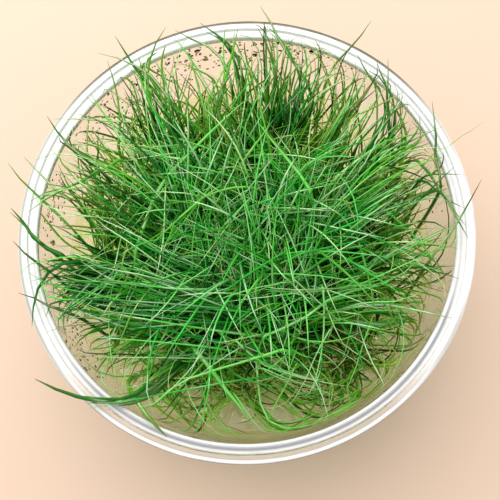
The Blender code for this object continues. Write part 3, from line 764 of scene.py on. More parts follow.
# The single leaves. Each row: points (across, down) in the view from the part where it leaves
# the others to its tip, height at both ends, width in mm, tone, dryness.
LEAVES_SEEN = (
    (((175, 110), (160, 87), (148, 73), (132, 64), (118, 58), (97, 53)), 47, 49, 0.6, 0.35, 0.25),
    (((138, 66), (160, 76), (180, 86)), 46, 44, 0.6, 0.55, 0.75),
    (((166, 110), (153, 89), (140, 75), (128, 57), (121, 45), (115, 36)), 46, 49, 0.6, 0.35, 0.15),
    (((152, 110), (148, 84), (148, 72), (151, 55), (157, 41), (166, 27)), 46, 49, 0.55, 0.55, 0.45),
    (((232, 90), (226, 67), (218, 54), (206, 45), (191, 39), (175, 30)), 46, 48, 0.6, 0.45, 0.25),
    (((244, 85), (238, 59), (231, 48), (223, 38), (211, 31), (200, 23)), 46, 48, 0.7, 0.35, 0.15),
    (((242, 95), (235, 62), (223, 41), (206, 32)), 45, 48, 0.6, 0.25, 0.10),
    (((119, 150), (120, 127), (119, 108), (116, 89), (112, 75), (107, 60)), 46, 49, 0.55, 0.55, 0.50),
    (((135, 145), (127, 126), (121, 115), (114, 102), (110, 90)), 46, 47, 0.55, 0.25, 0.15),
    (((88, 160), (87, 144), (88, 126), (90, 106)), 42, 46, 0.5, 0.50, 0.70),
    (((140, 126), (117, 122), (80, 119), (53, 119)), 47, 48, 0.5, 0.50, 0.60),
    (((105, 175), (89, 163), (75, 150), (64, 141), (56, 130), (47, 116)), 46, 48, 0.6, 0.30, 0.15),
    (((75, 205), (63, 196), (49, 183), (37, 171), (24, 157)), 46, 49, 0.5, 0.50, 0.35),
    (((75, 232), (53, 210), (37, 195), (21, 180), (8, 163)), 46, 50, 0.5, 0.55, 0.40),
    (((110, 172), (85, 160), (59, 153), (35, 160)), 47, 47, 0.45, 0.75, 0.15),
    (((75, 262), (48, 249), (33, 237), (24, 223), (11, 208)), 46, 49, 0.85, 0.25, 0.10),
    (((45, 246), (30, 232), (22, 223), (10, 212)), 47, 49, 0.5, 0.45, 0.20),
    (((60, 280), (36, 262), (21, 250), (13, 241)), 46, 48, 0.6, 0.20, 0.30),
    (((125, 160), (96, 175), (76, 183), (48, 198), (28, 212)), 49, 48, 0.5, 0.65, 0.20),
    (((110, 168), (76, 185), (40, 194), (29, 202)), 48, 48, 0.45, 0.55, 0.25),
    (((120, 170), (96, 160), (76, 149), (66, 140)), 46, 46, 0.5, 0.40, 0.35),
    (((120, 155), (100, 148), (88, 144), (62, 146)), 46, 46, 0.5, 0.55, 0.50),
    (((150, 128), (135, 121), (118, 113), (102, 106)), 46, 46, 0.5, 0.40, 0.30),
    (((100, 225), (83, 206), (69, 191), (57, 173)), 42, 44, 0.5, 0.15, 0.60),
    (((310, 90), (291, 59), (283, 46), (277, 36), (271, 23), (260, 6)), 46, 50, 0.65, 0.35, 0.20),
    (((275, 75), (268, 48), (264, 39), (257, 27)), 45, 47, 0.5, 0.40, 0.35),
    (((300, 80), (285, 45), (275, 34), (267, 26)), 46, 47, 0.5, 0.45, 0.20),
    (((325, 85), (335, 65), (344, 54), (352, 46), (363, 33), (371, 21)), 45, 50, 0.5, 0.40, 0.70),
    (((393, 165), (390, 140), (389, 121), (387, 96), (388, 76), (388, 59)), 44, 48, 0.75, 0.25, 0.20),
    (((395, 115), (386, 84), (380, 72), (376, 60)), 45, 47, 0.5, 0.35, 0.25),
    (((385, 105), (368, 75), (362, 64), (357, 54)), 45, 46, 0.45, 0.40, 0.30),
    (((318, 90), (318, 70), (319, 53), (320, 41)), 44, 46, 0.4, 0.40, 0.40),
    (((290, 85), (291, 64), (292, 48), (292, 36)), 45, 47, 0.45, 0.40, 0.30),
    (((355, 150), (368, 132), (381, 119), (394, 108), (405, 103)), 45, 46, 0.5, 0.30, 0.20),
    (((440, 190), (436, 163), (435, 150), (436, 137), (434, 118), (432, 101)), 45, 48, 0.6, 0.25, 0.30),
    (((365, 165), (393, 148), (409, 142), (425, 134), (442, 127)), 46, 48, 0.5, 0.40, 0.15),
    (((330, 185), (368, 153), (381, 143), (403, 137), (429, 131)), 50, 48, 0.7, 0.70, 0.15),
    (((454, 142), (464, 136), (484, 121)), 47, 50, 0.22, 0.80, 1.00),
    (((405, 145), (405, 128), (400, 112), (391, 99)), 40, 44, 0.6, 0.55, 0.85),
    (((402, 150), (401, 128), (399, 96)), 40, 45, 0.5, 0.50, 0.75),
    (((400, 145), (407, 135), (413, 124)), 40, 43, 0.45, 0.30, 0.40),
    (((420, 180), (436, 174), (449, 174), (465, 175)), 46, 47, 0.45, 0.20, 0.20),
    (((415, 205), (430, 190), (441, 179), (454, 167)), 46, 48, 0.5, 0.30, 0.15),
    (((430, 260), (448, 236), (456, 225), (462, 215), (472, 197), (482, 179)), 45, 50, 0.55, 0.35, 0.45),
    (((415, 160), (440, 190), (449, 204), (459, 222), (468, 238)), 46, 47, 0.5, 0.45, 0.25),
    (((420, 180), (446, 199), (464, 208)), 46, 47, 0.45, 0.30, 0.20),
    (((438, 190), (455, 212), (466, 226)), 46, 47, 0.45, 0.40, 0.20),
    (((380, 172), (405, 150), (417, 143), (429, 148), (438, 149)), 42, 42, 0.5, 0.65, 0.80),
    (((390, 185), (405, 165), (420, 158), (435, 158)), 40, 41, 0.5, 0.60, 0.85),
    (((385, 240), (417, 222), (433, 222), (449, 229)), 42, 43, 0.6, 0.25, 0.15),
    (((80, 318), (49, 306), (32, 297), (18, 293)), 45, 48, 0.6, 0.15, 0.45),
    (((80, 262), (56, 267), (45, 277), (37, 291), (33, 309), (32, 326)), 46, 46, 0.7, 0.25, 0.10),
    (((80, 258), (40, 262), (29, 265), (18, 275)), 47, 47, 0.4, 0.75, 0.10),
    (((95, 300), (72, 306), (61, 318), (59, 330), (56, 345)), 43, 44, 0.6, 0.30, 0.15),
    (((90, 296), (61, 301), (49, 307), (46, 317)), 43, 45, 0.6, 0.30, 0.10),
    (((180, 358), (143, 355), (102, 354), (65, 355)), 38, 40, 0.4, 0.05, 0.60),
    (((178, 358), (166, 374), (153, 389), (139, 399), (121, 403), (96, 401), (72, 395), (53, 388),
      (35, 379)), 38, 49, 1.0, 0.24, 0.15),
    (((182, 360), (165, 378), (148, 394), (130, 401), (112, 403), (92, 402)), 39, 47, 0.9, 0.20, 0.10),
    (((186, 362), (168, 382), (152, 395), (134, 404), (118, 406)), 38, 45, 0.9, 0.15, 0.10),
    (((175, 355), (160, 372), (146, 388), (128, 398), (108, 399), (84, 396)), 39, 48, 0.9, 0.30, 0.10),
    (((176, 362), (160, 383), (140, 396), (115, 402), (88, 403)), 39, 47, 0.8, 0.20, 0.10),
    (((128, 385), (143, 409), (155, 424), (167, 437)), 40, 45, 0.9, 0.65, 0.55),
    (((190, 410), (169, 427), (151, 436)), 38, 44, 0.5, 0.45, 0.30),
    (((285, 350), (250, 360), (215, 370), (188, 379), (159, 397), (151, 409)), 48, 46, 0.7, 0.80, 0.10),
    (((195, 350), (210, 368), (226, 390), (244, 412), (250, 422)), 44, 45, 1.0, 0.70, 0.08),
    (((200, 322), (191, 328), (165, 345), (142, 360), (134, 365)), 45, 41, 0.7, 0.70, 0.15),
    (((265, 336), (277, 331), (303, 319), (323, 303), (346, 293), (365, 288), (387, 283),
      (409, 269), (425, 253)), 48, 47, 0.8, 0.85, 0.05),
    (((312, 322), (330, 315), (346, 308), (370, 305), (393, 305), (417, 311), (441, 315), (452, 318)),
     44, 46, 0.7, 0.65, 0.15),
    (((315, 316), (330, 318), (354, 321), (378, 325), (401, 322), (417, 315)), 40, 42, 0.9, 0.45, 0.05),
    (((330, 318), (349, 322), (370, 329), (398, 336)), 42, 42, 0.55, 0.75, 0.05),
    (((322, 285), (324, 303), (324, 326), (322, 349), (317, 374), (308, 398)), 50, 44, 0.6, 0.85, 0.03),
    (((330, 330), (316, 355), (303, 385), (285, 412)), 47, 43, 0.45, 0.90, 0.03),
    (((370, 325), (364, 341), (355, 370), (343, 397)), 44, 40, 0.45, 0.80, 0.05),
    (((352, 322), (350, 333), (346, 349), (340, 365)), 44, 40, 0.45, 0.75, 0.05),
    (((235, 340), (250, 354), (266, 366), (290, 374), (322, 382), (352, 387)), 46, 42, 0.55, 0.88, 0.03),
    (((260, 368), (285, 378), (306, 385), (344, 399)), 44, 40, 0.5, 0.85, 0.03),
    (((318, 352), (328, 358), (337, 365), (342, 374), (341, 385)), 44, 39, 0.45, 0.95, 0.03),
    (((256, 360), (258, 378), (259, 397), (266, 417), (279, 428), (298, 431), (323, 429)),
     40, 36, 0.55, 0.75, 0.15),
    (((235, 395), (250, 417), (262, 431), (274, 439)), 41, 40, 0.45, 0.85, 0.10),
    (((296, 365), (288, 382), (277, 401), (264, 430)), 43, 39, 0.5, 0.75, 0.25),
    (((415, 272), (429, 270), (438, 267), (456, 266)), 43, 46, 0.4, 0.25, 0.20),
    (((410, 268), (429, 271), (446, 274), (459, 279)), 43, 46, 0.4, 0.25, 0.15),
    (((365, 346), (398, 346), (420, 346)), 36, 38, 0.4, 0.30, 0.15),
    (((330, 418), (350, 410), (368, 398)), 33, 35, 0.6, 0.75, 0.30),
    (((190, 165), (170, 158), (150, 151), (132, 147)), 52, 51, 0.8, 0.90, 0.05),
    (((135, 258), (150, 210), (160, 185), (185, 158), (215, 128), (250, 96)), 46, 56, 0.9, 0.80, 0.05),
    (((312, 198), (300, 175), (278, 148), (258, 122)), 54, 57, 0.9, 0.75, 0.05),
)


def growth_at(places):
    """Each row's values at the places: the mean of the rows, weighted by exp(-d^2 / 2 span^2)."""
    at = np.array([row[0] for row in GROWTH], float)
    values = np.array([(*row[1], *row[2:]) for row in GROWTH], float)
    apart = ((places[:, None, :] - at[None]) ** 2).sum(-1)
    weight = np.exp(-0.5 * apart / GROWTH_SPAN ** 2) + TINY
    return (weight @ values) / weight.sum(1, keepdims=True)


def sunflower(count, radius):
    """Places spread evenly over a disc: turn k times the golden angle, out by the root of k."""
    k = np.arange(count)
    out = radius * np.sqrt((k + 0.5) / count)
    return np.stack((out * np.cos(k * GOLDEN), out * np.sin(k * GOLDEN)), axis=-1)


def seen(across, down, height):
    """The place at a height in mm that the view shows at pixel (across, down): the ray from the
    eye through the pixel, followed to that height."""
    ray = VIEW_RIGHT * (across - VIEW_MIDDLE) + VIEW_UP * (VIEW_MIDDLE - down)
    ray = ray / VIEW_FOCAL - VIEW_BACK
    reach = (height * MM - VIEW_EYE.z) / ray.z
    return np.array(VIEW_EYE + ray * reach) / MM


def in_view(places):
    """Pixels (across, down) at which the view shows the places: seen, the other way round."""
    ray = places * MM - np.array(VIEW_EYE)
    scale = VIEW_FOCAL / -(ray @ np.array(VIEW_BACK))
    return np.stack((VIEW_MIDDLE + scale * (ray @ np.array(VIEW_RIGHT)),
                     VIEW_MIDDLE - scale * (ray @ np.array(VIEW_UP))), axis=-1)


def outside_clearings(path):
    """Which leaves stay: of those with a point in a clearing's ellipse, only its share."""
    pixels = in_view(path[:, 1:])
    stays = np.ones(len(path), bool)
    for middle, half, share in CLEARINGS_SEEN:
        inside = ((((pixels - middle) / half) ** 2).sum(-1) < 1.0).any(1)
        stays &= ~inside | (chance.random(len(path)) < share)
    return stays


def fan_places(plants):
    """Places of the fans round every plant, drawn in to the bed where they lie past its edge."""
    fans = (plants[:, None, :] + sunflower(FANS, FAN_SPREAD)[None]).reshape(-1, 2)
    return fans * np.minimum(1.0, BED_EDGE / np.hypot(*fans.T))[:, None]


def grown_leaves(plants, layer):
    """Leaves of one layer that grow freely: their paths in mm, tones, dryness and widths.

    Over t from 0 to 1 a leaf moves out by its reach times t^p, turned by its curl times t^2,
    and rises by its height times 1 - (1 - t)^q, so it stands up first and then leans over.
    """
    per_fan, reaches, rises, powers, rise_powers, mean_tone, yellowing, in_middle, broad = layer
    fans = fan_places(plants)
    dense = growth_at(fans)[:, 3]
    if in_middle:
        dense *= 1.0 / (1.0 + np.exp((np.hypot(*fans.T) - MIDDLE) / MIDDLE_FADE))
    count = np.round(per_fan * dense * chance.uniform(*FAN_FULLNESS, len(fans))).astype(int)
    which = np.repeat(np.arange(len(fans)), count)
    total = len(which)
    root = fans[which] + chance.normal(0.0, FAN_WIDTH, (total, 2))
    shift_x, shift_y, top, _, agree, yellow, curl = growth_at(root).T
    if in_middle:
        agree = MIDDLE_AGREES * agree

    t = np.linspace(0.0, 1.0, LEAF_STEPS + 1)[None, :]
    fan_turn, fan_tone, fan_dry = (chance.normal(0.0, spread, len(fans))[which]
                                   for spread in (FAN_TURN, FAN_TONE, FAN_DRY))
    heading = np.arctan2(shift_y, shift_x) + fan_turn
    heading += chance.normal(0.0, STRAY, total) * (1.0 - agree) ** STRAY_POWER
    reach = REACH_PER_SHIFT * np.hypot(shift_x, shift_y) + REACH_LEAST
    reach = reach * chance.uniform(*reaches, total)
    rise = (top - GEL_TOP) * chance.uniform(*rises, total)
    p = chance.uniform(*powers, total)[:, None]
    q = chance.uniform(*rise_powers, total)[:, None]
    turn = heading[:, None] + (curl * chance.normal(0.0, CURL_SPREAD, total))[:, None] * t ** 2
    out = reach[:, None] * t ** p
    path = np.empty((total, LEAF_STEPS + 1, 3))
    path[..., 0] = root[:, :1] + out * np.cos(turn)
    path[..., 1] = root[:, 1:] + out * np.sin(turn)
    path[..., 2] = GEL_TOP - ROOTED + (rise[:, None] + ROOTED) * (1.0 - (1.0 - t) ** q)
    tone = chance.normal(mean_tone, TONE_SPREAD, total) + fan_tone + YELLOW_TONE * yellow
    tone = np.where(chance.random(total) < PALE_SHARE, tone + PALE_STEP, tone)
    dry = yellowing * yellow + fan_dry + chance.normal(0.0, DRY_SPREAD, total)
    width = broad * chance.uniform(*LEAF_WIDTH, total)
    path = inside_the_cup(path)
    stays = outside_clearings(path)
    return path[stays], np.clip(tone, 0.0, 1.0)[stays], np.clip(dry, 0.0, 1.0)[stays], width[stays]


def smooth_path(points, count):
    """Even steps along the Catmull-Rom curve through the points, which bends least at each."""
    points = np.array(points, float)
    whole = np.concatenate((2.0 * points[:1] - points[1:2], points,
                            2.0 * points[-1:] - points[-2:-1]))
    u = np.linspace(0.0, len(points) - 1.0, CURVE_FINE * len(points))
    i = np.minimum(u.astype(int), len(points) - 2)
    f = (u - i)[:, None]
    a, b, c, d = (whole[i + k] for k in range(4))
    curve = 0.5 * (2.0 * b + (c - a) * f + (2.0 * a - 5.0 * b + 4.0 * c - d) * f ** 2
                   + (3.0 * b - a - 3.0 * c + d) * f ** 3)
    run = np.concatenate(([0.0], np.cumsum(np.linalg.norm(np.diff(curve, axis=0), axis=1))))
    even = np.linspace(0.0, run[-1], count)
    return np.stack([np.interp(even, run, curve[:, k]) for k in range(3)], axis=-1)


def lying_curve(across_down, heights):
    """Even points along one leaf that the view shows, from its base in the jelly to its tip.

    The base stands back from the first point, away from the second, within the bed.
    """
    places = np.array([seen(*point, z) for point, z in zip(across_down, heights)])
    run = places[1] - places[0]
    base = places[0] - BACK_SHARE * run
    base[:2] -= BACK_STEP * run[:2] / np.linalg.norm(run[:2])
    base[:2] *= min(1.0, BED_EDGE / np.hypot(*base[:2]))
    base[2] = GEL_TOP - ROOTED
    return smooth_path(np.vstack((base, places)), CURVE_STEPS)


def sheaf_leaves():
    """Leaves of the sheaves: each follows its sheaf's curve, moved aside by its own amount,
    which changes from root to tip, and ends somewhere along the last part of it."""
    made = []
    t = np.linspace(0.0, 1.0, LEAF_STEPS + 1)
    share = t[None, :, None]
    for k, (points, heights, count, spread, tone, dry) in enumerate(SHEAVES_SEEN):
        curve = lying_curve(points, heights)
        u = t[None] * chance.uniform(*SHEAF_ENDS, count)[:, None] * (CURVE_STEPS - 1.0)
        i = np.minimum(u.astype(int), CURVE_STEPS - 2)
        f = (u - i)[..., None]
        path = curve[i] * (1.0 - f) + curve[i + 1] * f
        at_root, at_tip, bow = (chance.normal(0.0, spread, (count, 1, 3)) * each_way
                                for each_way in (ROOT_SPREAD, TIP_SPREAD, BOW_SPREAD))
        yaw = chance.normal(0.0, SHEAF_YAW, (count, 1))
        east, north, _ = np.moveaxis(path - path[:, :1], -1, 0)
        path[..., 0] += east * (np.cos(yaw) - 1.0) - north * np.sin(yaw)
        path[..., 1] += north * (np.cos(yaw) - 1.0) + east * np.sin(yaw)
        path += at_root * (1.0 - share) + at_tip * share + bow * share * (1.0 - share)
        path = over_the_rim(path) if k < SHEAVES_OVER else inside_the_cup(path)
        tones = chance.normal(tone, SHEAF_TONE_SPREAD, count)
        dryness = chance.normal(SHEAF_DRIER * dry, SHEAF_DRY_SPREAD, count)
        width = SHEAF_WIDER * chance.uniform(*LEAF_WIDTH, count)
        columns = (path, np.clip(tones, 0.0, 1.0), np.clip(dryness, 0.0, 1.0), width)
        stays = outside_clearings(path) | (tone < DEEP_TONE)
        made.append([column[stays] for column in columns])
    return [np.concatenate(column) for column in zip(*made)]


def single_leaves():
    """The leaves that stand out, one for each row: even points along the row's curve."""
    paths = []
    for points, low, high, *_ in LEAVES_SEEN:
        curve = lying_curve(points, np.linspace(low, high, len(points)))
        paths.append(curve[np.linspace(0, CURVE_STEPS - 1, LEAF_STEPS + 1).round().astype(int)])
    width, tone, dry = np.array([row[3:] for row in LEAVES_SEEN]).T
    tone = np.where(tone < SINGLE_PALE, SINGLE_TONE * tone, tone)
    return over_the_rim(np.array(paths)), tone, dry + SINGLE_DRY, SINGLE_WIDER * width


# Runners that creep just under the jelly's top, and the roots that grow down from the fans.
RUNNER_DEPTH = 0.5
RUNNER_DIP = 0.8
RUNNER_WANDER = 1.2
RUNNER_WIDTH = (0.55, 0.85)
ROOTS_PER_FAN = 3
ROOT_SCATTER = 0.6
ROOT_START = 0.4                   # below the jelly's top
ROOT_ROOM = 1.0                    # kept free of roots above the cup's floor
ROOT_DEPTH = (0.35, 0.95)          # as shares of the rest of the jelly's depth
ROOT_REACH = (1.0, 6.0)
ROOT_WAVE = (0.2, 0.8)
ROOT_WAVES = (3.0, 9.0)
ROOT_WIDTH = (0.22, 0.40)
ROOT_TONE = (0.3, 1.0)


def runners_and_roots(plants):
    """Each plant's runners, from its middle to its fans, and the roots below every fan.

    A runner goes straight, dips by RUNNER_DIP in the middle and wanders sideways by a half
    sine; a root goes down by its depth times t and out by its reach times t^2, with a wave.
    """
    t = np.linspace(0.0, 1.0, LEAF_STEPS + 1)[None, :]
    fans = fan_places(plants)
    count = len(fans)
    start = np.repeat(plants, FANS, axis=0)[:, None, :]
    end = fans[:, None, :]
    runner = np.empty((count, LEAF_STEPS + 1, 3))
    aside = chance.normal(0.0, RUNNER_WANDER, (count, 1, 2)) * np.sin(math.pi * t)[..., None]
    runner[..., :2] = start + (end - start) * t[..., None] + aside
    runner[..., 2] = GEL_TOP - RUNNER_DEPTH - RUNNER_DIP * np.sin(math.pi * t)
    total = count * ROOTS_PER_FAN
    root = np.empty((total, LEAF_STEPS + 1, 3))
    top = np.repeat(fans, ROOTS_PER_FAN, axis=0)
    top = top + chance.normal(0.0, ROOT_SCATTER, (total, 2))
    heading = chance.uniform(0.0, 2.0 * math.pi, total)[:, None]
    reach = chance.uniform(*ROOT_REACH, total)[:, None]
    wave = chance.uniform(*ROOT_WAVE, total)[:, None]
    wave = wave * np.sin(chance.uniform(*ROOT_WAVES, total)[:, None] * t + heading)
    for k, direction in enumerate((np.cos(heading), np.sin(heading))):
        root[..., k] = top[:, k:k + 1] + direction * reach * t ** 2 + wave
    depth = chance.uniform(*ROOT_DEPTH, total)[:, None] * (GEL_TOP - WALL - ROOT_ROOM)
    root[..., 2] = GEL_TOP - ROOT_START - depth * t
    path = inside_the_cup(np.concatenate((runner, root)))
    width = [chance.uniform(*RUNNER_WIDTH, count), chance.uniform(*ROOT_WIDTH, total)]
    tone = chance.uniform(*ROOT_TONE, len(path))
    return path, tone, np.ones(len(path)), np.concatenate(width)


def inside_the_cup(path):
    """Ease leaves off the wall: past an easy radius, r becomes easy + room (1 - exp(-d / room)),
    where d is how far past it was, and room is what is left to the wall at that height."""
    out = np.hypot(path[..., 0], path[..., 1])
    easy = wall_inside(np.minimum(path[..., 2], RIM_TOP)) - WALL_CLEAR - WALL_EASE
    past = np.maximum(out - easy, 0.0)
    eased = np.where(past > 0.0, easy + WALL_EASE * (1.0 - np.exp(-past / WALL_EASE)), out)
    path[..., :2] *= (eased / np.maximum(out, TINY))[..., None]
    return path


def under_the_top(path):
    """Ease leaves over: above a height h, z becomes h + room (1 - exp(-(z - h) / room))."""
    above = np.maximum(path[..., 2] - TOP_EASE_FROM, 0.0)
    path[..., 2] += TOP_EASE * (1.0 - np.exp(-above / TOP_EASE)) - above
    return path


def over_the_rim(path):
    """Leaves that end past the lip clear it: within a few mm of the wall they are raised, by a
    smooth step of the radius, to a little above the rim. Other leaves are eased off the wall."""
    out = np.hypot(path[..., 0], path[..., 1])
    crosses = (out[:, -1] > LIP_RADIUS - RIM_NEAR) & (path[:, -1, 2] > RIM_TOP)
    step = np.clip((out - LIP_RADIUS + RIM_RUN) / RIM_RUN, 0.0, 1.0)
    raised = np.maximum(RIM_TOP + RIM_CLEAR - path[..., 2], 0.0) * step * step * (3.0 - 2.0 * step)
    path[..., 2] += np.where(crosses[:, None], raised, 0.0)
    path[~crosses] = inside_the_cup(path[~crosses])
    return path


def tubes(name, path, width, values):
    """Closed tapered tubes along many paths at once.

    Ring i sits at path(i) plus radius(i) times the cosine and sine of its corner angles. The
    first corner, the leaf's ridge with its painted highlight, is the part of the side toward the
    lamp that is square to the path.
    """
    count, steps, _ = path.shape
    run = np.gradient(path, axis=1)
    run /= np.linalg.norm(run, axis=-1, keepdims=True) + TINY
    upward = np.array(TOWARD_LAMP) / np.linalg.norm(TOWARD_LAMP)
    side = upward - (upward * run).sum(-1, keepdims=True) * run
    side /= np.linalg.norm(side, axis=-1, keepdims=True) + TINY
    other = np.cross(run, side)
    t = np.linspace(0.0, 1.0, steps)
    radius = 0.5 * width[:, None] * np.interp(t, *LEAF_TAPER)
    corner = np.arange(LEAF_SIDES) * (2.0 * math.pi / LEAF_SIDES)
    ring = (np.cos(corner)[:, None] * side[:, :, None, :]
            + np.sin(corner)[:, None] * other[:, :, None, :])
    verts = path[:, :, None, :] + radius[:, :, None, None] * ring
    base = (np.arange(count)[:, None, None] * steps + np.arange(steps - 1)[:, None]) * LEAF_SIDES
    here = np.arange(LEAF_SIDES)
    there = (here + 1) % LEAF_SIDES
    quads = np.stack((base + here, base + there, base + LEAF_SIDES + there,
                      base + LEAF_SIDES + here), axis=-1).reshape(-1, 4)
    start = np.arange(count)[:, None] * steps * LEAF_SIDES
    caps = np.concatenate((start + here[::-1], start + (steps - 1) * LEAF_SIDES + here))
    mesh = mesh_of(name, verts.reshape(-1, 3) * MM, [quads, caps])
    whole = np.empty((count, steps, LEAF_SIDES), np.float32)
    shapes = {"along": t[None, :, None], "ridge": (here == 0)[None, None, :]}
    for key, value in {**shapes, **{k: v[:, None, None] for k, v in values.items()}}.items():
        whole[:] = value
        mesh.attributes.new(key, "FLOAT", "POINT").data.foreach_set("value", whole.ravel())
    return mesh


LEAF_ROUGHNESS = 0.30
LEAF_IOR = 1.4
LEAF_SHEEN = 0.2
COAT_IOR = 3.2                     # the waxy skin that shines
COAT_ROUGHNESS = 0.2
TRANSLUCENT = 0.3                  # share of a leaf that glows with light from behind
SHADE_LEAK = 0.42                  # share of the light that a thin leaf lets on
SHADE_TINT = (0.68, 1.0, 0.45)
MEAN_GREEN = (0.05, 0.3, 0.03)

# Shades of the leaves. Each row: tone of the leaf, and the colour there. What ends in _ALONG
# goes by the place along the leaf instead, from its foot at 0 to its tip at 1. The ridge greens
# are paler, a painted highlight on the side toward the lamp, and the palest tones are painted
# highlights too.
GREENS = ((0.0, (0.004, 0.062, 0.014)), (0.3, (0.008, 0.20, 0.024)),
          (0.55, (0.018, 0.46, 0.036)), (0.8, (0.12, 0.78, 0.10)), (1.0, (0.42, 0.95, 0.40)))
LIT_RIDGE_GREENS = ((0.0, (0.005, 0.11, 0.02)), (0.3, (0.02, 0.38, 0.035)),
                (0.55, (0.075, 0.76, 0.085)), (0.8, (0.34, 0.98, 0.28)), (1.0, (0.85, 1.0, 0.88)))
YELLOWS = ((0.0, (0.05, 0.065, 0.004)), (0.25, (0.17, 0.28, 0.008)), (0.5, (0.40, 0.64, 0.018)),
           (1.0, (0.80, 0.95, 0.17)))
YELLOW_ALONG = ((0.0, 1.0), (0.3, 0.95), (0.75, 0.6), (1.0, 0.4))
TANS = ((0.0, (0.10, 0.045, 0.012)), (1.0, (0.42, 0.26, 0.07)))
TAN_ALONG = ((0.0, 0.0), (0.72, 0.0), (1.0, 1.0))
CREAMS = ((0.0, (0.30, 0.16, 0.06)), (1.0, (0.85, 0.72, 0.46)))

# The shine: the waxy coat and a painted highlight in the colour below it; where it falls by
# noise, tone and ridge, and its shades by the leaf's dryness.
GLINT_HEIGHTS = (32.0, 46.0)       # leaves shine from the first height, fully above the second
GLINTS = 2.0                       # how often the shine changes along a leaf
OWN_SPREAD = 400.0                 # sets the noise of one leaf apart from the next
GLINT_EDGE = ((0.0, 0.0), (0.535, 0.0), (0.58, 1.0), (1.0, 1.0))
GLINT_BY_TONE = ((0.0, 0.15), (0.5, 0.9), (1.0, 1.0))
GLINT_ON_RIDGE = ((0.0, 0.35), (0.7, 1.0), (1.0, 1.0))
GLINT_PALE = 0.75                  # how far the painted highlight pales the leaf below the shine
GLINT_SHADES = ((0.0, (0.64, 1.0, 0.58)), (0.6, (0.74, 1.0, 0.28)), (1.0, (0.90, 0.96, 0.26)))


def leaf_green():
    """Green by each leaf's tone, yellow at the base of young ones, tan at the tip of dry ones.

    Stretches of the upper leaves shine, where noise that differs from leaf to leaf is high.
    There the waxy coat shows, and the colour under it is painted paler as a highlight. The ridge
    is painted paler too, as a highlight on the side toward the lamp. Roots are cream.
    """
    material, shader = principled("leaf_green", MEAN_GREEN, LEAF_ROUGHNESS, LEAF_IOR)
    shader.inputs["Specular IOR Level"].default_value = LEAF_SHEEN
    shader.inputs["Coat IOR"].default_value = COAT_IOR
    shader.inputs["Coat Roughness"].default_value = COAT_ROUGHNESS
    net = Network(material.node_tree)
    tone, along, dry, ridge, own, root = (
        net.make("Attribute", {}, "Fac", attribute_name=name)
        for name in ("tone", "along", "dry", "ridge", "own", "root"))
    colour = net.blend(ridge, net.ramp(tone, GREENS), net.ramp(tone, LIT_RIDGE_GREENS))
    for shades, share in ((YELLOWS, YELLOW_ALONG), (TANS, TAN_ALONG)):
        colour = net.blend(net.math("MULTIPLY", dry, net.ramp(along, share)), colour,
                           net.ramp(tone, shades))

    noise_at = net.make("CombineXYZ", {0: net.math("MULTIPLY", along, GLINTS),
                                       1: net.math("MULTIPLY", own, OWN_SPREAD)})
    noise = net.make("TexNoise", {"Vector": noise_at, "Scale": 1.0, "Detail": 1.0}, "Fac")
    low, high = (height * MM for height in GLINT_HEIGHTS)
    shine = net.smooth_between(net.place()[2], low, high)
    for part in (net.ramp(ridge, GLINT_ON_RIDGE), net.ramp(noise, GLINT_EDGE),
                 net.ramp(tone, GLINT_BY_TONE)):
        shine = net.math("MULTIPLY", shine, part)
    net.feed(shader.inputs["Coat Weight"], shine)
    colour = net.blend(net.math("MULTIPLY", shine, GLINT_PALE), colour,
                       net.ramp(dry, GLINT_SHADES))
    colour = net.blend(root, colour, net.ramp(tone, CREAMS))
    net.feed(shader.inputs["Base Color"], colour)

    glow = net.make("BsdfTranslucent", {"Color": colour})
    through = net.make("MixShader", {0: TRANSLUCENT, 1: shader.outputs[0], 2: glow})
    lets_light_through(material, through.node, SHADE_TINT, SHADE_LEAK)
    return material


def add_leaves():
    """Every plant's leaves, in one piece with its runners and roots."""
    plants = sunflower(TUFTS, BED_RADIUS)
    groups = [grown_leaves(plants, layer) for layer in LAYERS] + [sheaf_leaves(), single_leaves()]
    path, tone, dry, width = (np.concatenate(column) for column in zip(*groups))
    path = under_the_top(path)
    width = width * np.interp(tone, *PALE_THINS)
    grown = len(path)
    path, tone, dry, width = (np.concatenate(pair) for pair in zip(
        (path, tone, dry, width), runners_and_roots(plants)))
    root = (np.arange(len(path)) >= grown).astype(float)
    owner = ((path[:, None, 0, :2] - plants[None]) ** 2).sum(-1).argmin(1)
    material = leaf_green()
    for k in range(TUFTS):
        own = owner == k
        name = f"tuft_{k + 1:02d}"
        mesh = tubes(f"{name}_leaves", path[own], width[own],
                     {"tone": tone[own], "dry": dry[own], "root": root[own],
                      "own": chance.random(int(own.sum()))})
        piece = new_piece(f"{name}_leaves", mesh, [material])
        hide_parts(name)
        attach(piece, "root")


add_leaves()


# Drops. Water that has settled on the inside of the wall as fine drops, drawn down a little, and
# a few beads on the jelly. Each drop is half an egg with its flat side on what carries it.
DROP_RINGS = 4
DROP_SIDES = 10
DROP_RISE = 0.7                    # how far a drop stands out, as a share of its half width
DROP_SINK = 0.02
DROP_UPRIGHT = 0.9                 # drops that face up more than this are turned from the Y axis
DROP_TALL = (0.7, 1.3)             # height of the drops on the wall, as a share of their width
# The wall drops are tinted dark olive: painted refraction of the dark leaves behind them.
DROP_PAINTED_DARK = (0.42, 0.40, 0.26)
BEAD_COLOUR = (0.96, 0.97, 0.96)
WATER_SHADE_TINT = (0.95, 0.96, 0.94)
WATER_ROUGHNESS = 0.02
WATER_IOR = 1.33
WALL_MARGIN = 1.5                  # drops sit this far below the rim and above the jelly
WALL_TRIES = 160
WALL_MISS = 0.3
DROP_SEED = 5

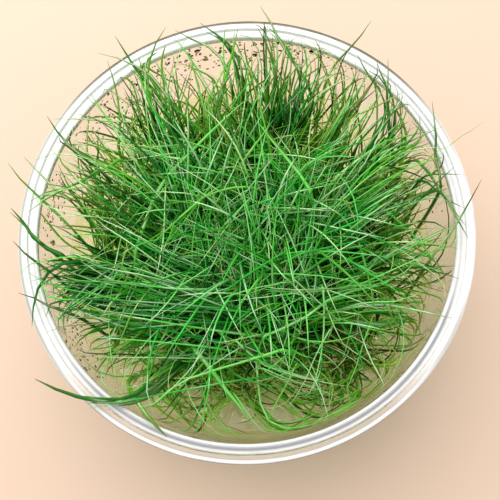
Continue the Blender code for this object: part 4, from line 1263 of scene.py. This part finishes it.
# Patches of drops, as the view shows them. Each row: middle (across, down), half size in pixels,
# number of drops, their smallest and largest width in mm.
PATCHES_SEEN = (
    ((165, 70), (34, 14), 80, (0.34, 0.90)), ((215, 58), (30, 12), 70, (0.34, 0.90)),
    ((265, 52), (34, 10), 70, (0.34, 0.98)), ((330, 58), (34, 12), 46, (0.30, 0.75)),
    ((378, 82), (22, 14), 24, (0.30, 0.68)), ((120, 100), (20, 18), 60, (0.30, 0.83)),
    ((88, 130), (16, 16), 40, (0.30, 0.75)), ((56, 200), (10, 28), 54, (0.30, 0.75)),
    ((48, 235), (6, 24), 20, (0.34, 0.75)), ((72, 335), (10, 16), 36, (0.30, 0.75)),
    ((92, 368), (12, 12), 34, (0.34, 0.83)), ((436, 208), (8, 8), 5, (0.34, 0.68)),
)
LARGE_DROPS_SEEN = (
    (197, 51, 1.5), (312, 52, 1.5), (255, 55, 1.3), (53, 243, 1.6), (206, 58, 0.9),
    (303, 60, 0.8), (228, 66, 1.0), (271, 60, 0.9), (240, 45, 0.8), (180, 62, 0.9),
)
BEADS_SEEN = ((381, 301, 2.2), (362, 311, 1.3), (378, 316, 1.1), (425, 318, 0.9))


def on_the_wall(across, down):
    """Where the view's ray through each pixel meets the inside of the wall, in mm.

    The ray is tried at even heights, and its place nearest to the wall is kept. Rays that miss
    the wall are dropped, and the second result says which weren't.
    """
    heights = np.linspace(GEL_TOP + WALL_MARGIN, RIM_TOP - WALL_MARGIN, WALL_TRIES)
    ray = (np.array(VIEW_RIGHT) * (across[:, None] - VIEW_MIDDLE)
           + np.array(VIEW_UP) * (VIEW_MIDDLE - down[:, None])) / VIEW_FOCAL - np.array(VIEW_BACK)
    eye = np.array(VIEW_EYE) / MM
    reach = (heights[None] - eye[2]) / ray[:, 2:]
    places = eye + ray[:, None, :] * reach[..., None]
    miss = np.abs(np.hypot(places[..., 0], places[..., 1]) - wall_inside(heights)[None])
    best = miss.argmin(1)
    found = miss.min(1) < WALL_MISS
    return places[np.arange(len(best)), best][found], found


def domes(name, places, outward, width, tall, material):
    """Half eggs on their places: ring i has radius cos(a) and stands sin(a) times the rise off
    the surface, with a from 0 at the foot towards a right angle at the peak."""
    count = len(places)
    lift = np.linspace(0.0, 0.5 * math.pi, DROP_RINGS + 1)[:-1]
    turn = np.arange(DROP_SIDES) * (2.0 * math.pi / DROP_SIDES)
    axis = np.where(np.abs(outward[:, 2:]) < DROP_UPRIGHT, (0.0, 0.0, 1.0), (0.0, 1.0, 0.0))
    side = np.cross(axis, outward)
    side /= np.linalg.norm(side, axis=1, keepdims=True)
    upward = np.cross(outward, side)
    flat = (np.cos(turn)[:, None] * side[:, None, :]
            + (tall[:, None] * np.sin(turn))[..., None] * upward[:, None, :])
    rings = (places[:, None, None, :] + 0.5 * width[:, None, None, None] * (
        np.cos(lift)[:, None, None] * flat[:, None] + (DROP_RISE * np.sin(lift))[:, None, None]
        * outward[:, None, None, :]))
    top = places + 0.5 * width[:, None] * DROP_RISE * outward
    foot = places - DROP_SINK * outward
    body = DROP_RINGS * DROP_SIDES
    verts = np.concatenate((rings.reshape(count, body, 3), top[:, None], foot[:, None]), axis=1)
    start = np.arange(count)[:, None] * (body + 2)
    here = np.arange(DROP_SIDES)
    there = (here + 1) % DROP_SIDES
    ring = start[:, :, None] + (np.arange(DROP_RINGS - 1) * DROP_SIDES)[:, None]
    quads = np.stack((ring + here, ring + there, ring + DROP_SIDES + there,
                      ring + DROP_SIDES + here), axis=-1).reshape(-1, 4)
    last = start + (DROP_RINGS - 1) * DROP_SIDES
    peak, flat_middle = (np.broadcast_to(start + body + k, (count, DROP_SIDES)) for k in (0, 1))
    caps = np.concatenate([np.stack(three, axis=-1).reshape(-1, 3) for three in (
        (last + here, last + there, peak), (start + there, start + here, flat_middle))])
    mesh = mesh_of(name, verts.reshape(-1, 3) * MM, [quads, caps])
    piece = new_piece(name, mesh, [material])
    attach(piece, "root")


def water(name, colour):
    """Clear water with a plain tint; on the wall drops it is a painted dark refraction."""
    material, shader = principled(name, colour, WATER_ROUGHNESS, WATER_IOR)
    shader.inputs["Transmission Weight"].default_value = 1.0
    lets_light_through(material, shader, WATER_SHADE_TINT)
    return material


def add_drops():
    """The drops on the wall, and the beads on the jelly."""
    luck = np.random.default_rng(DROP_SEED)
    pixels, widths = [], []
    for middle, half, count, (least, most) in PATCHES_SEEN:
        pixels.append(np.array(middle) + luck.uniform(-1.0, 1.0, (count, 2)) * half)
        widths.append(luck.uniform(least, most, count))
    large = np.array(LARGE_DROPS_SEEN)
    pixels = np.concatenate((*pixels, large[:, :2]))
    places, found = on_the_wall(*pixels.T)
    width = np.concatenate((*widths, large[:, 2]))[found]
    tall = luck.uniform(*DROP_TALL, len(width))
    inward = -places / np.hypot(places[:, :1], places[:, 1:2])
    inward[:, 2] = math.tan(TAPER)
    inward /= np.linalg.norm(inward, axis=1, keepdims=True)
    domes("wall_drops", places, inward, width, tall, water("wall_water", DROP_PAINTED_DARK))
    beads = np.array([(*seen(across, down, GEL_TOP), width) for across, down, width in BEADS_SEEN])
    up = np.tile((0.0, 0.0, 1.0), (len(beads), 1))
    domes("jelly_beads", beads[:, :3], up, beads[:, 3], np.ones(len(beads)),
          water("bead_water", BEAD_COLOUR))


add_drops()
